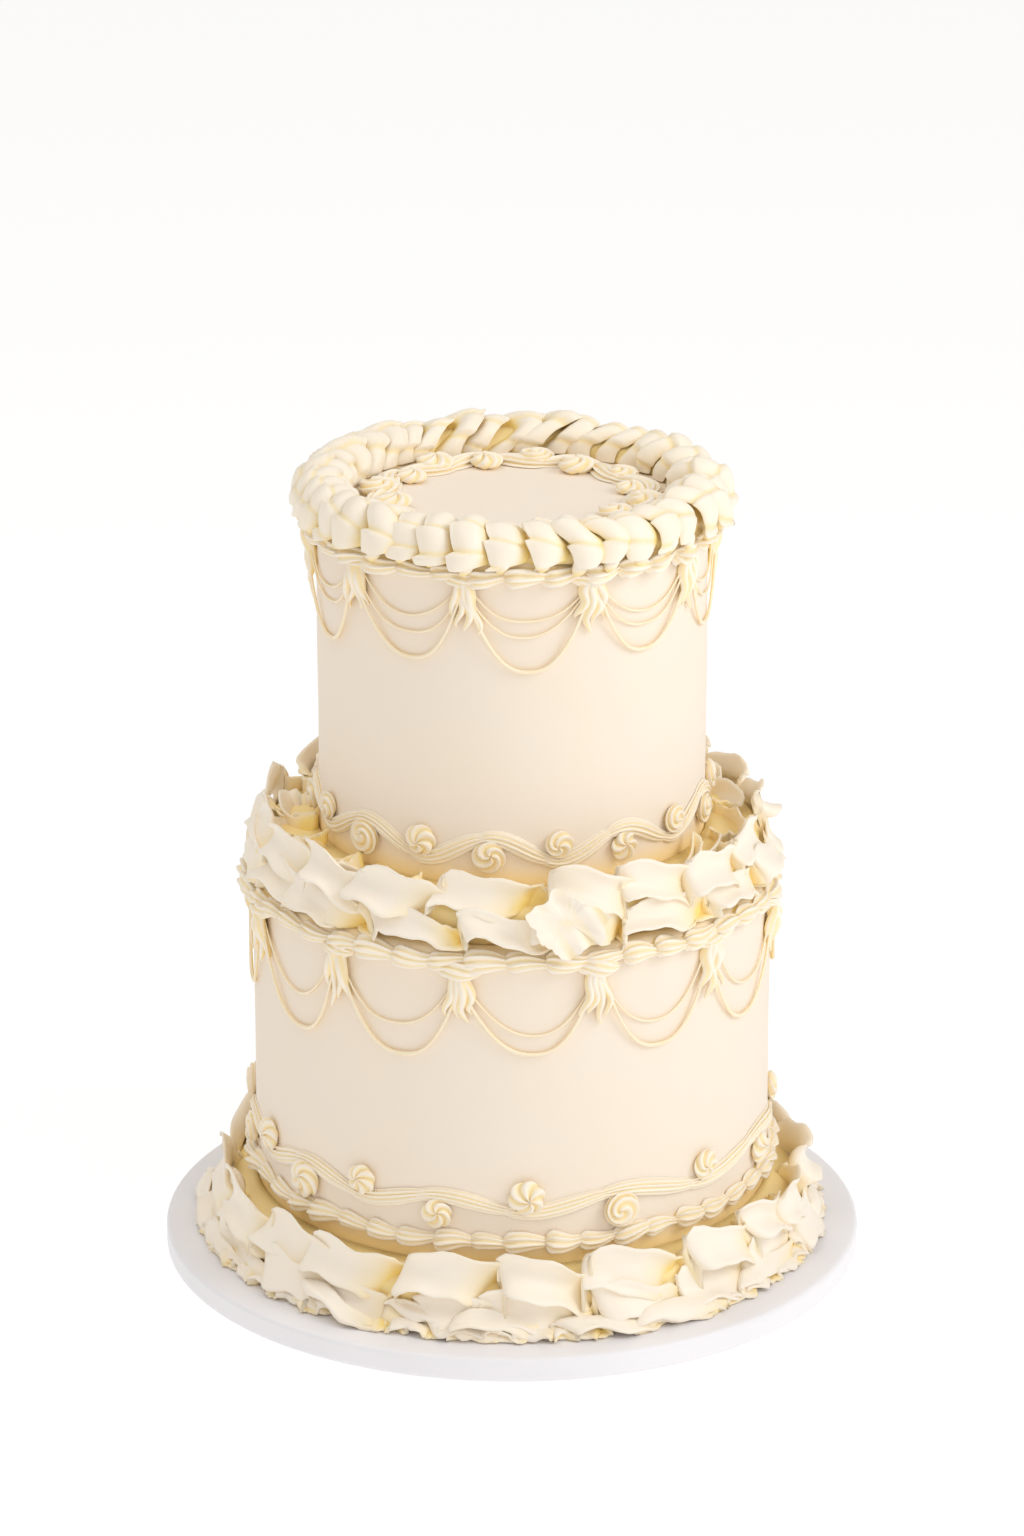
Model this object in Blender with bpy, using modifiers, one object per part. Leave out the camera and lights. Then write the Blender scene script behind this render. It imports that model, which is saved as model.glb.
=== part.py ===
"""Two-tier buttercream cake in the piped vintage style, standing on its round white board.

Metres, +Z up. The origin is the centre of the board's underside, and the camera side is -Y.
Angles run from the front (-Y) towards +X. Each piped border is a closed ring round its tier.
"""

import math

import bpy
from mathutils import Vector

# The board and the two iced tiers
BOARD_RADIUS = 0.1524
BOARD_THICKNESS = 0.011
BOARD_EDGE_ROUND = 0.0022
LOWER_RADIUS = 0.112
LOWER_TOP = 0.178
UPPER_RADIUS = 0.083
UPPER_TOP = 0.3385
TIER_EDGE_ROUND = 0.003
BOARD_SIDES = 48
LOWER_SIDES = 50
UPPER_SIDES = 44
GAP = 0.0004  # between pieces that rest on each other

# Pleated ruffles, each with its root and free edge as (radius, height), how far its folds push
# out and lean sideways, and half its thickness at the root and at the edge
BASE_PLEATS = 20
BASE_PLEAT_START = -19.0
BASE_RUFFLES = {
    "base_ruffle_outer": ((0.1156, 0.0165), (0.1362, 0.0193), (0.0015, 0.0045), (0.0030, 0.0055)),
    "base_ruffle_middle": ((0.1152, 0.0235), (0.1345, 0.0305), (0.0025, 0.0062), (0.0021, 0.0008)),
    "base_ruffle_inner": ((0.1149, 0.0290), (0.1290, 0.0425), (0.0030, 0.0060), (0.0021, 0.0008)),
}
MIDDLE_PLEATS = 18
MIDDLE_PLEAT_START = -11.5
MIDDLE_RUFFLES = {
    "ledge_ruffle_outer": ((0.0866, 0.1818), (0.1185, 0.1868), (0.0015, 0.0050), (0.0028, 0.0048)),
    "ledge_ruffle_middle": ((0.0864, 0.1880), (0.1110, 0.2035), (0.0030, 0.0060), (0.0021, 0.0008)),
    "ledge_ruffle_inner": ((0.0860, 0.1945), (0.0995, 0.2085), (0.0030, 0.0058), (0.0021, 0.0008)),
}
RUFFLE_ROOT_SHARE = 0.12  # how much of its folds a ruffle still has at its root
PLEAT_STEPS = (0.0, 0.08, 0.20, 0.52, 0.84)
PLEAT_TUCK_WIDTH = 0.13
PLEAT_RECEDE_WIDTH = 0.20

# The folded ruffle that lies over the top edge: (radius, height, pleat share, push out, push up)
CROWN_FOLDS = 38
CROWN_START = 0.3
CROWN_DEPTH = 0.0026
CROWN_LEAN = 0.0042
CROWN_STEPS = (0.0, 0.14, 0.45, 0.84)
CROWN_SECTION = (
    (0.0912, 0.3422, 0.9, 0.87, 0.49),
    (0.0825, 0.3525, 1.0, 0.30, 0.95),
    (0.0712, 0.3505, 0.9, -0.50, 0.87),
    (0.0668, UPPER_TOP + GAP, 0.4, 0.0, 0.0),
    (0.0838, UPPER_TOP + GAP, 0.0, 0.0, 0.0),
)

# Ribbed scrolls: a wave with a rosette in every bend
SCROLL_HALF_WIDTH = 0.0040
SCROLL_THICKNESS = 0.0032
SCROLL_STEPS = 5
ROSETTE_RADIUS = 0.0062
ROSETTE_HEIGHT = 0.0066
ROSETTE_SIDES = 6
ROSETTE_OFFSET = 0.0080
TOP_ROSETTE_OFFSETS = (-0.0046, 0.0008)
LOWER_SCROLL = {"waves": 9, "middle": 0.0630, "swing": 0.0034, "start": 3.1, "drift": 13.0}
UPPER_SCROLL = {"waves": 9, "middle": 0.2115, "swing": 0.0056, "start": -26.5, "drift": 0.0}
TOP_SCROLL = {"waves": 8, "middle": 0.0572, "swing": 0.0032, "start": 147.3, "drift": 0.0}

# Shell borders: a bead of star-piped shells, each fat at its head and thin at its tail
SHELL_HALF_HEIGHT = 0.0045
SHELL_TAIL = 0.62
BORDERS = {
    "upper_rim_shells": (UPPER_RADIUS, 0.3330, 0.0080, 36),
    "lower_rim_shells": (LOWER_RADIUS, 0.1728, 0.0064, 46),
    "base_shells": (LOWER_RADIUS, 0.0462, 0.0056, 48),
}

# Drop strings: the swags of each string, nearest the wall first: (drop, half thickness)
STRING_STEPS = (0.0, 0.12, 0.36, 0.64, 0.88)
STRING_SAG_POWER = 2.3
STRING_SPREAD = 0.00035
UPPER_STRINGS = {"radius": UPPER_RADIUS, "top": 0.3262, "swags": 10, "start": -13.3, "drift": 0.0,
                 "strings": ((0.0150, 0.0007), (0.0222, 0.0007), (0.0345, 0.0010))}
LOWER_STRINGS = {"radius": LOWER_RADIUS, "top": 0.1660, "swags": 12, "start": -10.9, "drift": -2.4,
                 "strings": ((0.0255, 0.0007), (0.0365, 0.0010))}

# Tassels: the short drops piped over the point where two swags meet
TASSEL_LENGTH = 0.0195
TASSEL_HALF_WIDTH = 0.0048
TASSEL_DEPTH = 0.0034
TASSEL_SIDES = 6

# The piped leaf at the front, on the ledge ruffles
LEAF_ANGLE = 12.5
LEAF_TIP_SHIFT = -4.0
LEAF_BASE = (0.1232, 0.1790)
LEAF_TIP = (0.1185, 0.2090)
LEAF_HALF_WIDTH = 0.0150
LEAF_THICKNESS = 0.0012
LEAF_COLUMNS = 4
LEAF_ROWS = 5


def clear_scene():
    for obj in list(bpy.data.objects):
        bpy.data.objects.remove(obj, do_unlink=True)


def material(name, colour, roughness):
    """A Principled material with one colour and roughness."""
    made = bpy.data.materials.new(name)
    made.use_nodes = True
    shader = made.node_tree.nodes["Principled BSDF"]
    shader.inputs["Base Color"].default_value = (*colour, 1.0)
    shader.inputs["Roughness"].default_value = roughness
    shader.inputs["Metallic"].default_value = 0.0
    return made


def at(angle, radius, height):
    """The point at an angle in degrees from the front, a radius and a height."""
    turn = math.radians(angle)
    return Vector((radius * math.sin(turn), -radius * math.cos(turn), height))


def uneven(index, salt):
    """A fixed hand-made variation between -1 and 1 for the piece of that index."""
    return math.sin(2.4 * index + 5.1 * salt) * math.cos(1.7 * index * salt + 0.6)


def finish(obj, name, look, collection):
    """Names an object, gives it its material and moves it to the cake's collection."""
    obj.name = name
    obj.data.name = name
    obj.data.materials.clear()
    obj.data.materials.append(look)
    for owner in list(obj.users_collection):
        owner.objects.unlink(obj)
    collection.objects.link(obj)
    return obj


def disc(radius, low, high, sides, edge_round):
    """A round slab between two heights, with its two rims rounded."""
    bpy.ops.mesh.primitive_cylinder_add(
        vertices=sides, radius=radius, depth=high - low, location=(0, 0, (low + high) / 2)
    )
    obj = bpy.context.object
    bevel = obj.modifiers.new("round_rims", "BEVEL")
    bevel.width = edge_round
    bevel.segments = 1
    bevel.limit_method = "ANGLE"
    bevel.angle_limit = math.radians(60)
    return obj


def ring(stations, section):
    """A closed ring shaped from a torus. section(station) lists (angle, radius, height) of its corners.

    Stations run round the cake by rising angle, and each section's corners run anticlockwise.
    """
    corners = len(section(stations[0]))
    bpy.ops.mesh.primitive_torus_add(
        major_segments=len(stations), minor_segments=corners, major_radius=0.1, minor_radius=0.01
    )
    obj = bpy.context.object
    places = [at(*corner) for station in stations for corner in section(station)]
    for vertex, place in zip(obj.data.vertices, places):
        vertex.co = place
    obj.data.update()
    return obj


def pleat_wave(step):
    """1 on the broad face of a pleat and -1 in the narrow tuck at each end of it."""
    after = math.exp(-((step / PLEAT_TUCK_WIDTH) ** 2))
    before = math.exp(-(((1 - step) / PLEAT_RECEDE_WIDTH) ** 2))
    return 1 - 2 * max(after, before)


def ruffle(root, edge, folds, halves, pleats, start):
    """A pleated ribbon from its root on the cake to its free edge, leaning into its folds."""
    depth, lean = folds
    root_half, edge_half = halves
    run = Vector((edge[0] - root[0], edge[1] - root[1])).normalized()
    out = Vector((run.y, -run.x))
    stations = [(pleat, step) for pleat in range(pleats) for step in PLEAT_STEPS]

    def section(station):
        pleat, step = station
        wave = pleat_wave(step)
        size = 1 + 0.22 * uneven(pleat, 1.0)
        corners = []
        for (radius, height), share, half in (
            (root, RUFFLE_ROOT_SHARE, root_half),
            (edge, 1.0, edge_half),
            (edge, 1.0, -edge_half),
            (root, RUFFLE_ROOT_SHARE, -root_half),
        ):
            push = depth * size * share * wave + half
            tilt = math.degrees(lean * size * share * wave / radius)
            angle = start + (pleat + step) * 360 / pleats - tilt
            corners.append((angle, radius + out.x * push, height + out.y * push))
        return corners

    return ring(stations, section)


def crown():
    """The ring of overlapping folds that lies over the top edge of the upper tier."""
    stations = [(fold, step) for fold in range(CROWN_FOLDS) for step in CROWN_STEPS]

    def section(station):
        fold, step = station
        wave = pleat_wave(step)
        size = 1 + 0.2 * uneven(fold, 2.0)
        corners = []
        for radius, height, share, push_out, push_up in CROWN_SECTION:
            push = CROWN_DEPTH * size * share * wave
            tilt = math.degrees(CROWN_LEAN * size * share * wave / radius)
            angle = CROWN_START + (fold + step) * 360 / CROWN_FOLDS - tilt
            corners.append((angle, radius + push_out * push, height + push_up * push))
        return corners

    return ring(stations, section)


def scroll_angle(scroll, bend):
    """The angle of a bend of a scroll. Even bends are the low ones, and bends drift as if set by eye."""
    even = bend * 180 / scroll["waves"]
    return scroll["start"] + even + scroll["drift"] * (1 - math.cos(math.radians(even)))


def rosette(place, outward):
    """A low piped swirl standing on a surface, as a blunt cone."""
    bpy.ops.mesh.primitive_cone_add(
        vertices=ROSETTE_SIDES,
        radius1=ROSETTE_RADIUS,
        radius2=ROSETTE_RADIUS * 0.34,
        depth=ROSETTE_HEIGHT,
        location=place + outward * (ROSETTE_HEIGHT / 2),
        rotation=outward.to_track_quat("Z", "Y").to_euler(),
    )
    return bpy.context.object


def join_all(base, others):
    """Joins other objects to a base by one Boolean union, and removes them."""
    helpers = bpy.data.collections.new("helpers")
    bpy.context.scene.collection.children.link(helpers)
    for obj in others:
        for owner in list(obj.users_collection):
            owner.objects.unlink(obj)
        helpers.objects.link(obj)
    union = base.modifiers.new("union", "BOOLEAN")
    union.operation = "UNION"
    union.operand_type = "COLLECTION"
    union.collection = helpers
    union.solver = "EXACT"
    bpy.context.view_layer.objects.active = base
    bpy.ops.object.modifier_apply(modifier=union.name)
    for obj in list(helpers.objects):
        bpy.data.objects.remove(obj, do_unlink=True)
    bpy.data.collections.remove(helpers)
    return base


def wall_scroll(scroll, radius):
    """A ribbed wave on a tier's wall, with a rosette above each trough and below each crest."""
    inner = radius + GAP
    outer = inner + SCROLL_THICKNESS
    stations = [
        bend + step / SCROLL_STEPS * 2
        for bend in range(0, 2 * scroll["waves"], 2)
        for step in range(SCROLL_STEPS)
    ]

    def section(bend):
        angle = scroll_angle(scroll, bend)
        height = scroll["middle"] - scroll["swing"] * math.cos(math.pi * bend)
        half = SCROLL_HALF_WIDTH
        return [
            (angle, outer, height - half * 0.6),
            (angle, outer, height + half * 0.6),
            (angle, inner, height + half),
            (angle, inner, height - half),
        ]

    rosettes = []
    for bend in range(2 * scroll["waves"]):
        angle = scroll_angle(scroll, bend)
        side = 1 if bend % 2 == 0 else -1
        height = scroll["middle"] + side * (ROSETTE_OFFSET - scroll["swing"])
        rosettes.append(rosette(at(angle, inner, height), at(angle, 1, 0)))
    return join_all(ring(stations, section), rosettes)


def top_scroll(scroll):
    """The same wave laid flat round the top of the upper tier."""
    floor = UPPER_TOP + GAP
    stations = [
        bend + step / SCROLL_STEPS * 2
        for bend in range(0, 2 * scroll["waves"], 2)
        for step in range(SCROLL_STEPS)
    ]

    def section(bend):
        angle = scroll_angle(scroll, bend)
        radius = scroll["middle"] + scroll["swing"] * math.cos(math.pi * bend)
        half = SCROLL_HALF_WIDTH
        return [
            (angle, radius + half, floor),
            (angle, radius + half * 0.6, floor + SCROLL_THICKNESS),
            (angle, radius - half * 0.6, floor + SCROLL_THICKNESS),
            (angle, radius - half, floor),
        ]

    rosettes = []
    for bend in range(2 * scroll["waves"]):
        offset = TOP_ROSETTE_OFFSETS[bend % 2]
        place = at(scroll_angle(scroll, bend), scroll["middle"] + offset, floor)
        rosettes.append(rosette(place, Vector((0, 0, 1))))
    return join_all(ring(stations, section), rosettes)


def shell_border(radius, height, depth, shells):
    """A bead of shells round a wall: each swells at its head and narrows to its tail."""
    inner = radius + GAP
    stations = [(shell, tail) for shell in range(shells) for tail in (0, 1)]

    def section(station):
        shell, tail = station
        size = SHELL_TAIL if tail else 1 + 0.08 * uneven(shell, 3.0)
        angle = (shell + (0.58 if tail else 0)) * 360 / shells
        half = SHELL_HALF_HEIGHT * size
        return [
            (angle, inner + depth * size * 0.85, height - half * 0.6),
            (angle, inner + depth * size * 0.85, height + half * 0.7),
            (angle, inner, height + half),
            (angle, inner, height - half),
        ]

    return ring(stations, section)


def drop_angle(strings, swag):
    """The angle of the point that a swag hangs from."""
    even = swag * 360 / strings["swags"]
    return strings["start"] + even + strings["drift"] * math.sin(math.radians(even))


def string_ring(strings, layer):
    """One string round the tier, hanging in swags from drop to drop. Outer layers lie over inner ones."""
    drop, half = strings["strings"][layer]
    stand_off = GAP + STRING_SPREAD
    for _, inner_half in strings["strings"][:layer]:
        stand_off += 2 * inner_half + GAP
    stations = [(swag, step) for swag in range(strings["swags"]) for step in STRING_STEPS]

    def section(station):
        swag, step = station
        here, there = drop_angle(strings, swag), drop_angle(strings, swag + 1)
        hang = 1 - abs(2 * step - 1) ** STRING_SAG_POWER
        angle = here + (there - here) * step
        near_wall = strings["radius"] + GAP + STRING_SPREAD + half
        at_drop = strings["radius"] + stand_off + half
        radius = near_wall + (at_drop - near_wall) * (1 - hang) ** 2
        height = strings["top"] - drop * hang * (1 + 0.05 * uneven(swag, 4.0 + layer))
        return [
            (angle, radius + half, height),
            (angle, radius - half * 0.7, height + half),
            (angle, radius - half * 0.7, height - half),
        ]

    return ring(stations, section)


def tassel(strings, swag):
    """A short bunch of drops over the point where two swags meet, wide at the top and wavy to its tip."""
    stack = sum(2 * half + GAP for _, half in strings["strings"])
    back = strings["radius"] + STRING_SPREAD + GAP * 2 + stack + TASSEL_DEPTH * 0.5
    length = TASSEL_LENGTH * (1 + 0.12 * uneven(swag, 6.0))
    bpy.ops.mesh.primitive_cone_add(
        vertices=TASSEL_SIDES, radius1=0.25, radius2=1.0, depth=1.0, end_fill_type="NGON"
    )
    obj = bpy.context.object
    angle = drop_angle(strings, swag)
    side = at(angle + 90, 1, 0)
    outward = at(angle, 1, 0)
    centre = at(angle, back, strings["top"])
    for vertex in obj.data.vertices:
        across, deep, up = vertex.co
        down = 0.5 - up
        sway = 0.0016 * math.sin(math.pi * down + swag)
        pull_in = 0.0008 * down
        place = centre + side * (across * TASSEL_HALF_WIDTH + sway)
        place -= outward * (deep * TASSEL_DEPTH * 0.5 + pull_in)
        vertex.co = place - Vector((0, 0, down * length))
    obj.data.update()
    return obj


def leaf():
    """A wavy piped leaf, wide near its base and pointed at its tip, with a sunk middle vein."""
    bpy.ops.mesh.primitive_grid_add(x_subdivisions=LEAF_COLUMNS, y_subdivisions=LEAF_ROWS, size=2)
    obj = bpy.context.object
    for vertex in obj.data.vertices:
        across, along = vertex.co.x, (vertex.co.y + 1) / 2
        width = LEAF_HALF_WIDTH * (0.22 + 1.9 * along * (1 - along) ** 0.75 + 0.12 * (1 - along))
        ripple = 0.0012 * abs(across) * math.sin(along * 9 + across * 1.2)
        vein = 0.0012 * (abs(across) - 0.5)
        radius = LEAF_BASE[0] + (LEAF_TIP[0] - LEAF_BASE[0]) * along + ripple + vein + 0.0012
        height = LEAF_BASE[1] + (LEAF_TIP[1] - LEAF_BASE[1]) * along
        turn = LEAF_ANGLE + LEAF_TIP_SHIFT * along + math.degrees(across * width / radius)
        vertex.co = at(turn, radius, height)
    body = obj.modifiers.new("thickness", "SOLIDIFY")
    body.thickness = LEAF_THICKNESS
    body.offset = 0.0
    return obj


def build():
    """Builds every piece of the cake in one collection."""
    clear_scene()
    cake = bpy.data.collections.new("buttercream_cake")
    bpy.context.scene.collection.children.link(cake)
    white_board = material("board_white", (0.86, 0.85, 0.86), 0.45)
    icing = material("smooth_buttercream", (0.90, 0.83, 0.72), 0.55)
    piping = material("piped_buttercream", (0.93, 0.85, 0.68), 0.48)

    board = disc(BOARD_RADIUS, 0.0, BOARD_THICKNESS, BOARD_SIDES, BOARD_EDGE_ROUND)
    finish(board, "board", white_board, cake)
    lower = disc(LOWER_RADIUS, BOARD_THICKNESS + GAP, LOWER_TOP, LOWER_SIDES, TIER_EDGE_ROUND)
    finish(lower, "lower_tier", icing, cake)
    upper = disc(UPPER_RADIUS, LOWER_TOP + GAP, UPPER_TOP, UPPER_SIDES, TIER_EDGE_ROUND)
    finish(upper, "upper_tier", icing, cake)

    for name, (root, edge, folds, halves) in BASE_RUFFLES.items():
        layer = ruffle(root, edge, folds, halves, BASE_PLEATS, BASE_PLEAT_START)
        finish(layer, name, piping, cake)
    for name, (root, edge, folds, halves) in MIDDLE_RUFFLES.items():
        layer = ruffle(root, edge, folds, halves, MIDDLE_PLEATS, MIDDLE_PLEAT_START)
        finish(layer, name, piping, cake)
    finish(crown(), "crown_ruffle", piping, cake)

    finish(wall_scroll(LOWER_SCROLL, LOWER_RADIUS), "lower_scroll", piping, cake)
    finish(wall_scroll(UPPER_SCROLL, UPPER_RADIUS), "upper_scroll", piping, cake)
    finish(top_scroll(TOP_SCROLL), "top_scroll", piping, cake)

    for name, (radius, height, depth, shells) in BORDERS.items():
        finish(shell_border(radius, height, depth, shells), name, piping, cake)

    for tier, strings in (("upper", UPPER_STRINGS), ("lower", LOWER_STRINGS)):
        for layer in range(len(strings["strings"])):
            finish(string_ring(strings, layer), f"{tier}_string_{layer + 1}", piping, cake)
        for swag in range(strings["swags"]):
            finish(tassel(strings, swag), f"{tier}_tassel_{swag + 1:02d}", piping, cake)

    finish(leaf(), "leaf", piping, cake)


build()
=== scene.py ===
"""Looks of a tiered buttercream cake in the piped vintage style, on its round white board.

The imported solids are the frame, and every piece here takes the place of some of them. Metres, +Z up,
the front at -Y. Angles are degrees from the front towards +X. Piping is laid out on a seat, which is
a tier's wall or its flat top, by the distance along it, the distance across it and the rise off it.
"""

import logging
import math
from collections.abc import Callable, Sequence
from dataclasses import dataclass
from enum import Enum

import bpy
import numpy as np
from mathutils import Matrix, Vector


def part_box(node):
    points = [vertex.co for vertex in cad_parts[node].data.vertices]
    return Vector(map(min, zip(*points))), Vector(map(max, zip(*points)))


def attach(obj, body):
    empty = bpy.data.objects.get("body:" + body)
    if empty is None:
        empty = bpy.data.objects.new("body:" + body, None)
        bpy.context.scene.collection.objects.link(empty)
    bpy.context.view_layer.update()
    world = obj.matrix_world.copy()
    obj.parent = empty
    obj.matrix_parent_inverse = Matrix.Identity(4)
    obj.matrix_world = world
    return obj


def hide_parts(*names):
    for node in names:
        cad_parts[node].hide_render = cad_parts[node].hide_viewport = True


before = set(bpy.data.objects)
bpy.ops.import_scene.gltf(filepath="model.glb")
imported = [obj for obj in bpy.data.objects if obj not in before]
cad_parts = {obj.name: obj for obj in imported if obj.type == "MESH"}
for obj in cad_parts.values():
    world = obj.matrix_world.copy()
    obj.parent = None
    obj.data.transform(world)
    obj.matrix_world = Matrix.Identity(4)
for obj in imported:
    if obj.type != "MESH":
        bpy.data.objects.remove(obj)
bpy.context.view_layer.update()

LOG = logging.getLogger("cake")
BODY = "root"
Curve = Callable[[np.ndarray], np.ndarray]


class Lie(Enum):
    """Which way a seat faces."""

    WALL = "wall"
    TOP = "top"


class Slot(Enum):
    """The record's material slots."""

    BOARD = "board_white"
    SMOOTH = "smooth_buttercream"
    PIPED = "piped_buttercream"


def turned(angle: np.ndarray, radius: np.ndarray, height: np.ndarray) -> np.ndarray:
    """Gives points from their places round the cake.

    Args:
        angle: Degrees from the front towards +X.
        radius: Distances from the cake's axis.
        height: Heights above the table.

    Returns:
        The points, with x, y and z on the last axis.
    """
    turn = np.radians(angle)
    return np.stack([radius * np.sin(turn), -radius * np.cos(turn), height + 0.0 * turn], axis=-1)


def through(points: np.ndarray, samples: int) -> np.ndarray:
    """Runs a smooth curve through points and spaces samples evenly along it.

    Args:
        points: The points to pass, with one more at each end that only steers the curve.
        samples: How many points to give back, from the second point to the last but one.

    Returns:
        An array of samples points.
    """
    before, start, end, after = points[:-3], points[1:-2], points[2:-1], points[3:]
    step = np.linspace(0, 1, 24, endpoint=False)[:, None, None]
    dense = 0.5 * (
        2 * start
        + (end - before) * step
        + (2 * before - 5 * start + 4 * end - after) * step**2
        + (3 * start - before - 3 * end + after) * step**3
    )
    dense = np.concatenate([dense.transpose(1, 0, 2).reshape(-1, points.shape[1]), points[-2:-1]])
    reach = np.concatenate([[0], np.cumsum(np.linalg.norm(np.diff(dense, axis=0), axis=1))])
    places = np.linspace(0, reach[-1], samples)
    return np.stack([np.interp(places, reach, dense[:, axis]) for axis in range(points.shape[1])], axis=-1)


def eased(low: float, high: float, value: np.ndarray) -> np.ndarray:
    """Rises smoothly from 0 at low to 1 at high."""
    share = np.clip((value - low) / (high - low), 0, 1)
    return share * share * (3 - 2 * share)


def play(draw: np.random.Generator, middle: float, spread: float) -> float:
    """Draws a value up to spread to either side of middle."""
    return middle + spread * draw.uniform(-1, 1)


class Wobble:
    """A smooth uneven wave that closes on itself after a whole round."""

    def __init__(self, seed: int, slow: int, fast: int, waves: int = 6) -> None:
        """Draws the wave.

        Args:
            seed: Fixes the draw.
            slow: The fewest swings in a round.
            fast: The most swings in a round.
            waves: How many sine waves are added.
        """
        draw = np.random.default_rng(seed)
        self.swings = draw.integers(slow, fast + 1, waves)
        self.phases = draw.uniform(0, 2 * math.pi, waves)
        self.sizes = draw.uniform(0.5, 1.0, waves)
        self.sizes /= self.sizes.sum() * 0.62

    def __call__(self, turn: np.ndarray) -> np.ndarray:
        """Gives the wave, about -1 to 1, at shares of a round."""
        angles = 2 * math.pi * turn[..., None] * self.swings + self.phases
        return (np.sin(angles) * self.sizes).sum(axis=-1)


@dataclass(frozen=True)
class Seat:
    """A surface that piping lies on."""

    lie: Lie
    radius: float
    height: float

    def place(self, angle: float, along: np.ndarray, across: np.ndarray, rise: np.ndarray) -> np.ndarray:
        """Puts points on the seat.

        Args:
            angle: Where the piping starts, in degrees.
            along: Distances round the cake from there.
            across: Distances up a wall, or inwards on a top.
            rise: Distances off the surface.

        Returns:
            The points in space.
        """
        turn = angle + np.degrees(along / self.radius)
        if self.lie is Lie.WALL:
            return turned(turn, self.radius + rise, self.height + across)
        return turned(turn, self.radius - across, self.height + rise)


@dataclass(frozen=True)
class Form:
    """A closed starting form as arrays: where each point lies along and around it, and its faces."""

    along: np.ndarray
    around: np.ndarray
    corners: np.ndarray
    totals: np.ndarray

    @property
    def step(self) -> np.ndarray:
        """The angle from one end of a spindle to the other, from 0 to pi."""
        return np.arccos(np.clip(1 - 2 * self.along, -1, 1))


class Bench:
    """Makes the starting forms from Blender's primitives and keeps them for use again."""

    def __init__(self) -> None:
        """Starts with no form made."""
        self.spindles: dict[tuple[int, int], Form] = {}
        self.rings: dict[tuple[int, int], Form] = {}

    @staticmethod
    def take(mesh: bpy.types.Mesh) -> tuple[np.ndarray, np.ndarray, np.ndarray]:
        """Reads a primitive and removes it.

        Args:
            mesh: The mesh of the active object.

        Returns:
            Its points, the corners of its faces in a row, and how many corners each face has.
        """
        points = np.empty(len(mesh.vertices) * 3)
        mesh.vertices.foreach_get("co", points)
        corners = np.empty(len(mesh.loops), dtype=np.int32)
        mesh.loops.foreach_get("vertex_index", corners)
        totals = np.empty(len(mesh.polygons), dtype=np.int32)
        mesh.polygons.foreach_get("loop_total", totals)
        bpy.data.objects.remove(bpy.context.object, do_unlink=True)
        bpy.data.meshes.remove(mesh)
        return points.reshape(-1, 3), corners, totals

    def spindle(self, rings: int, sides: int) -> Form:
        """A form with two closed ends, from a sphere.

        Args:
            rings: Rings of faces from end to end.
            sides: Faces round it.

        Returns:
            The form, with along from 0 to 1 and around in radians.
        """
        if (rings, sides) not in self.spindles:
            bpy.ops.mesh.primitive_uv_sphere_add(segments=sides, ring_count=rings, radius=1)
            points, corners, totals = self.take(bpy.context.object.data)
            along = (1 - np.clip(points[:, 2], -1, 1)) / 2
            around = np.arctan2(points[:, 1], points[:, 0])
            self.spindles[rings, sides] = Form(along, around, corners, totals)
        return self.spindles[rings, sides]

    def ring(self, stations: int, sides: int) -> Form:
        """A form that closes on itself round the cake, from a grid rolled up both ways.

        Args:
            stations: Steps round the cake.
            sides: Points in each section.

        Returns:
            The form, with along as the station's number and around as the point's number in it.
        """
        if (stations, sides) not in self.rings:
            bpy.ops.mesh.primitive_grid_add(x_subdivisions=sides, y_subdivisions=stations, size=2)
            _, corners, totals = self.take(bpy.context.object.data)
            station, side = corners // (sides + 1) % stations, corners % (sides + 1) % sides
            number = np.arange(stations * sides)
            joined = (station * sides + side).astype(np.int32)
            self.rings[stations, sides] = Form(number // sides, number % sides, joined, totals)
        return self.rings[stations, sides]


BENCH = Bench()


@dataclass(frozen=True)
class Sheet:
    """A spindle pressed flat: a thin closed sheet with rounded ends."""

    form: Form
    along: np.ndarray
    across: np.ndarray
    side: np.ndarray

    @classmethod
    def cut(cls, rings: int, sides: int, blunt: float) -> "Sheet":
        """Presses a spindle flat.

        Args:
            rings: Rings of faces from end to end.
            sides: Faces round it, half of them on each side of the sheet.
            blunt: Near 0 for square ends, 0.5 for round ones.

        Returns:
            The sheet, with along and across from 0 to 1, and side from -1 under it to 1 on top.
        """
        form = BENCH.spindle(rings, sides)
        along = form.step / math.pi
        wide = np.sin(math.pi * along) ** blunt
        side = np.sign(np.sin(form.around)) * np.sqrt(np.abs(np.sin(form.around)))
        return cls(form, along, 0.5 - 0.5 * np.cos(form.around) * wide, side * wide)


@dataclass(frozen=True)
class Ribs:
    """The ridges that a star nozzle leaves."""

    count: int
    depth: float
    twist: float

    def ridge(self, along: np.ndarray, around: np.ndarray) -> np.ndarray:
        """Gives 1 on a ridge and 0 in the groove beside it."""
        return (0.5 + 0.5 * np.cos(self.count * (around + self.twist * along))) ** 0.75


@dataclass
class Rope:
    """A length of piping that lies on a seat.

    The path gives the distance along and across the seat. A shade adds painted shade to the whole
    rope, and fins make its ridges stand out near its head.
    """

    path: Callable[[np.ndarray], tuple[np.ndarray, np.ndarray]]
    half_width: Curve
    half_height: Curve
    rise: Curve
    ribs: Ribs
    rings: int
    sides: int
    # Painted shade added over the whole rope.
    shade: float = 0.0
    fins: float = 0.0


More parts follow.
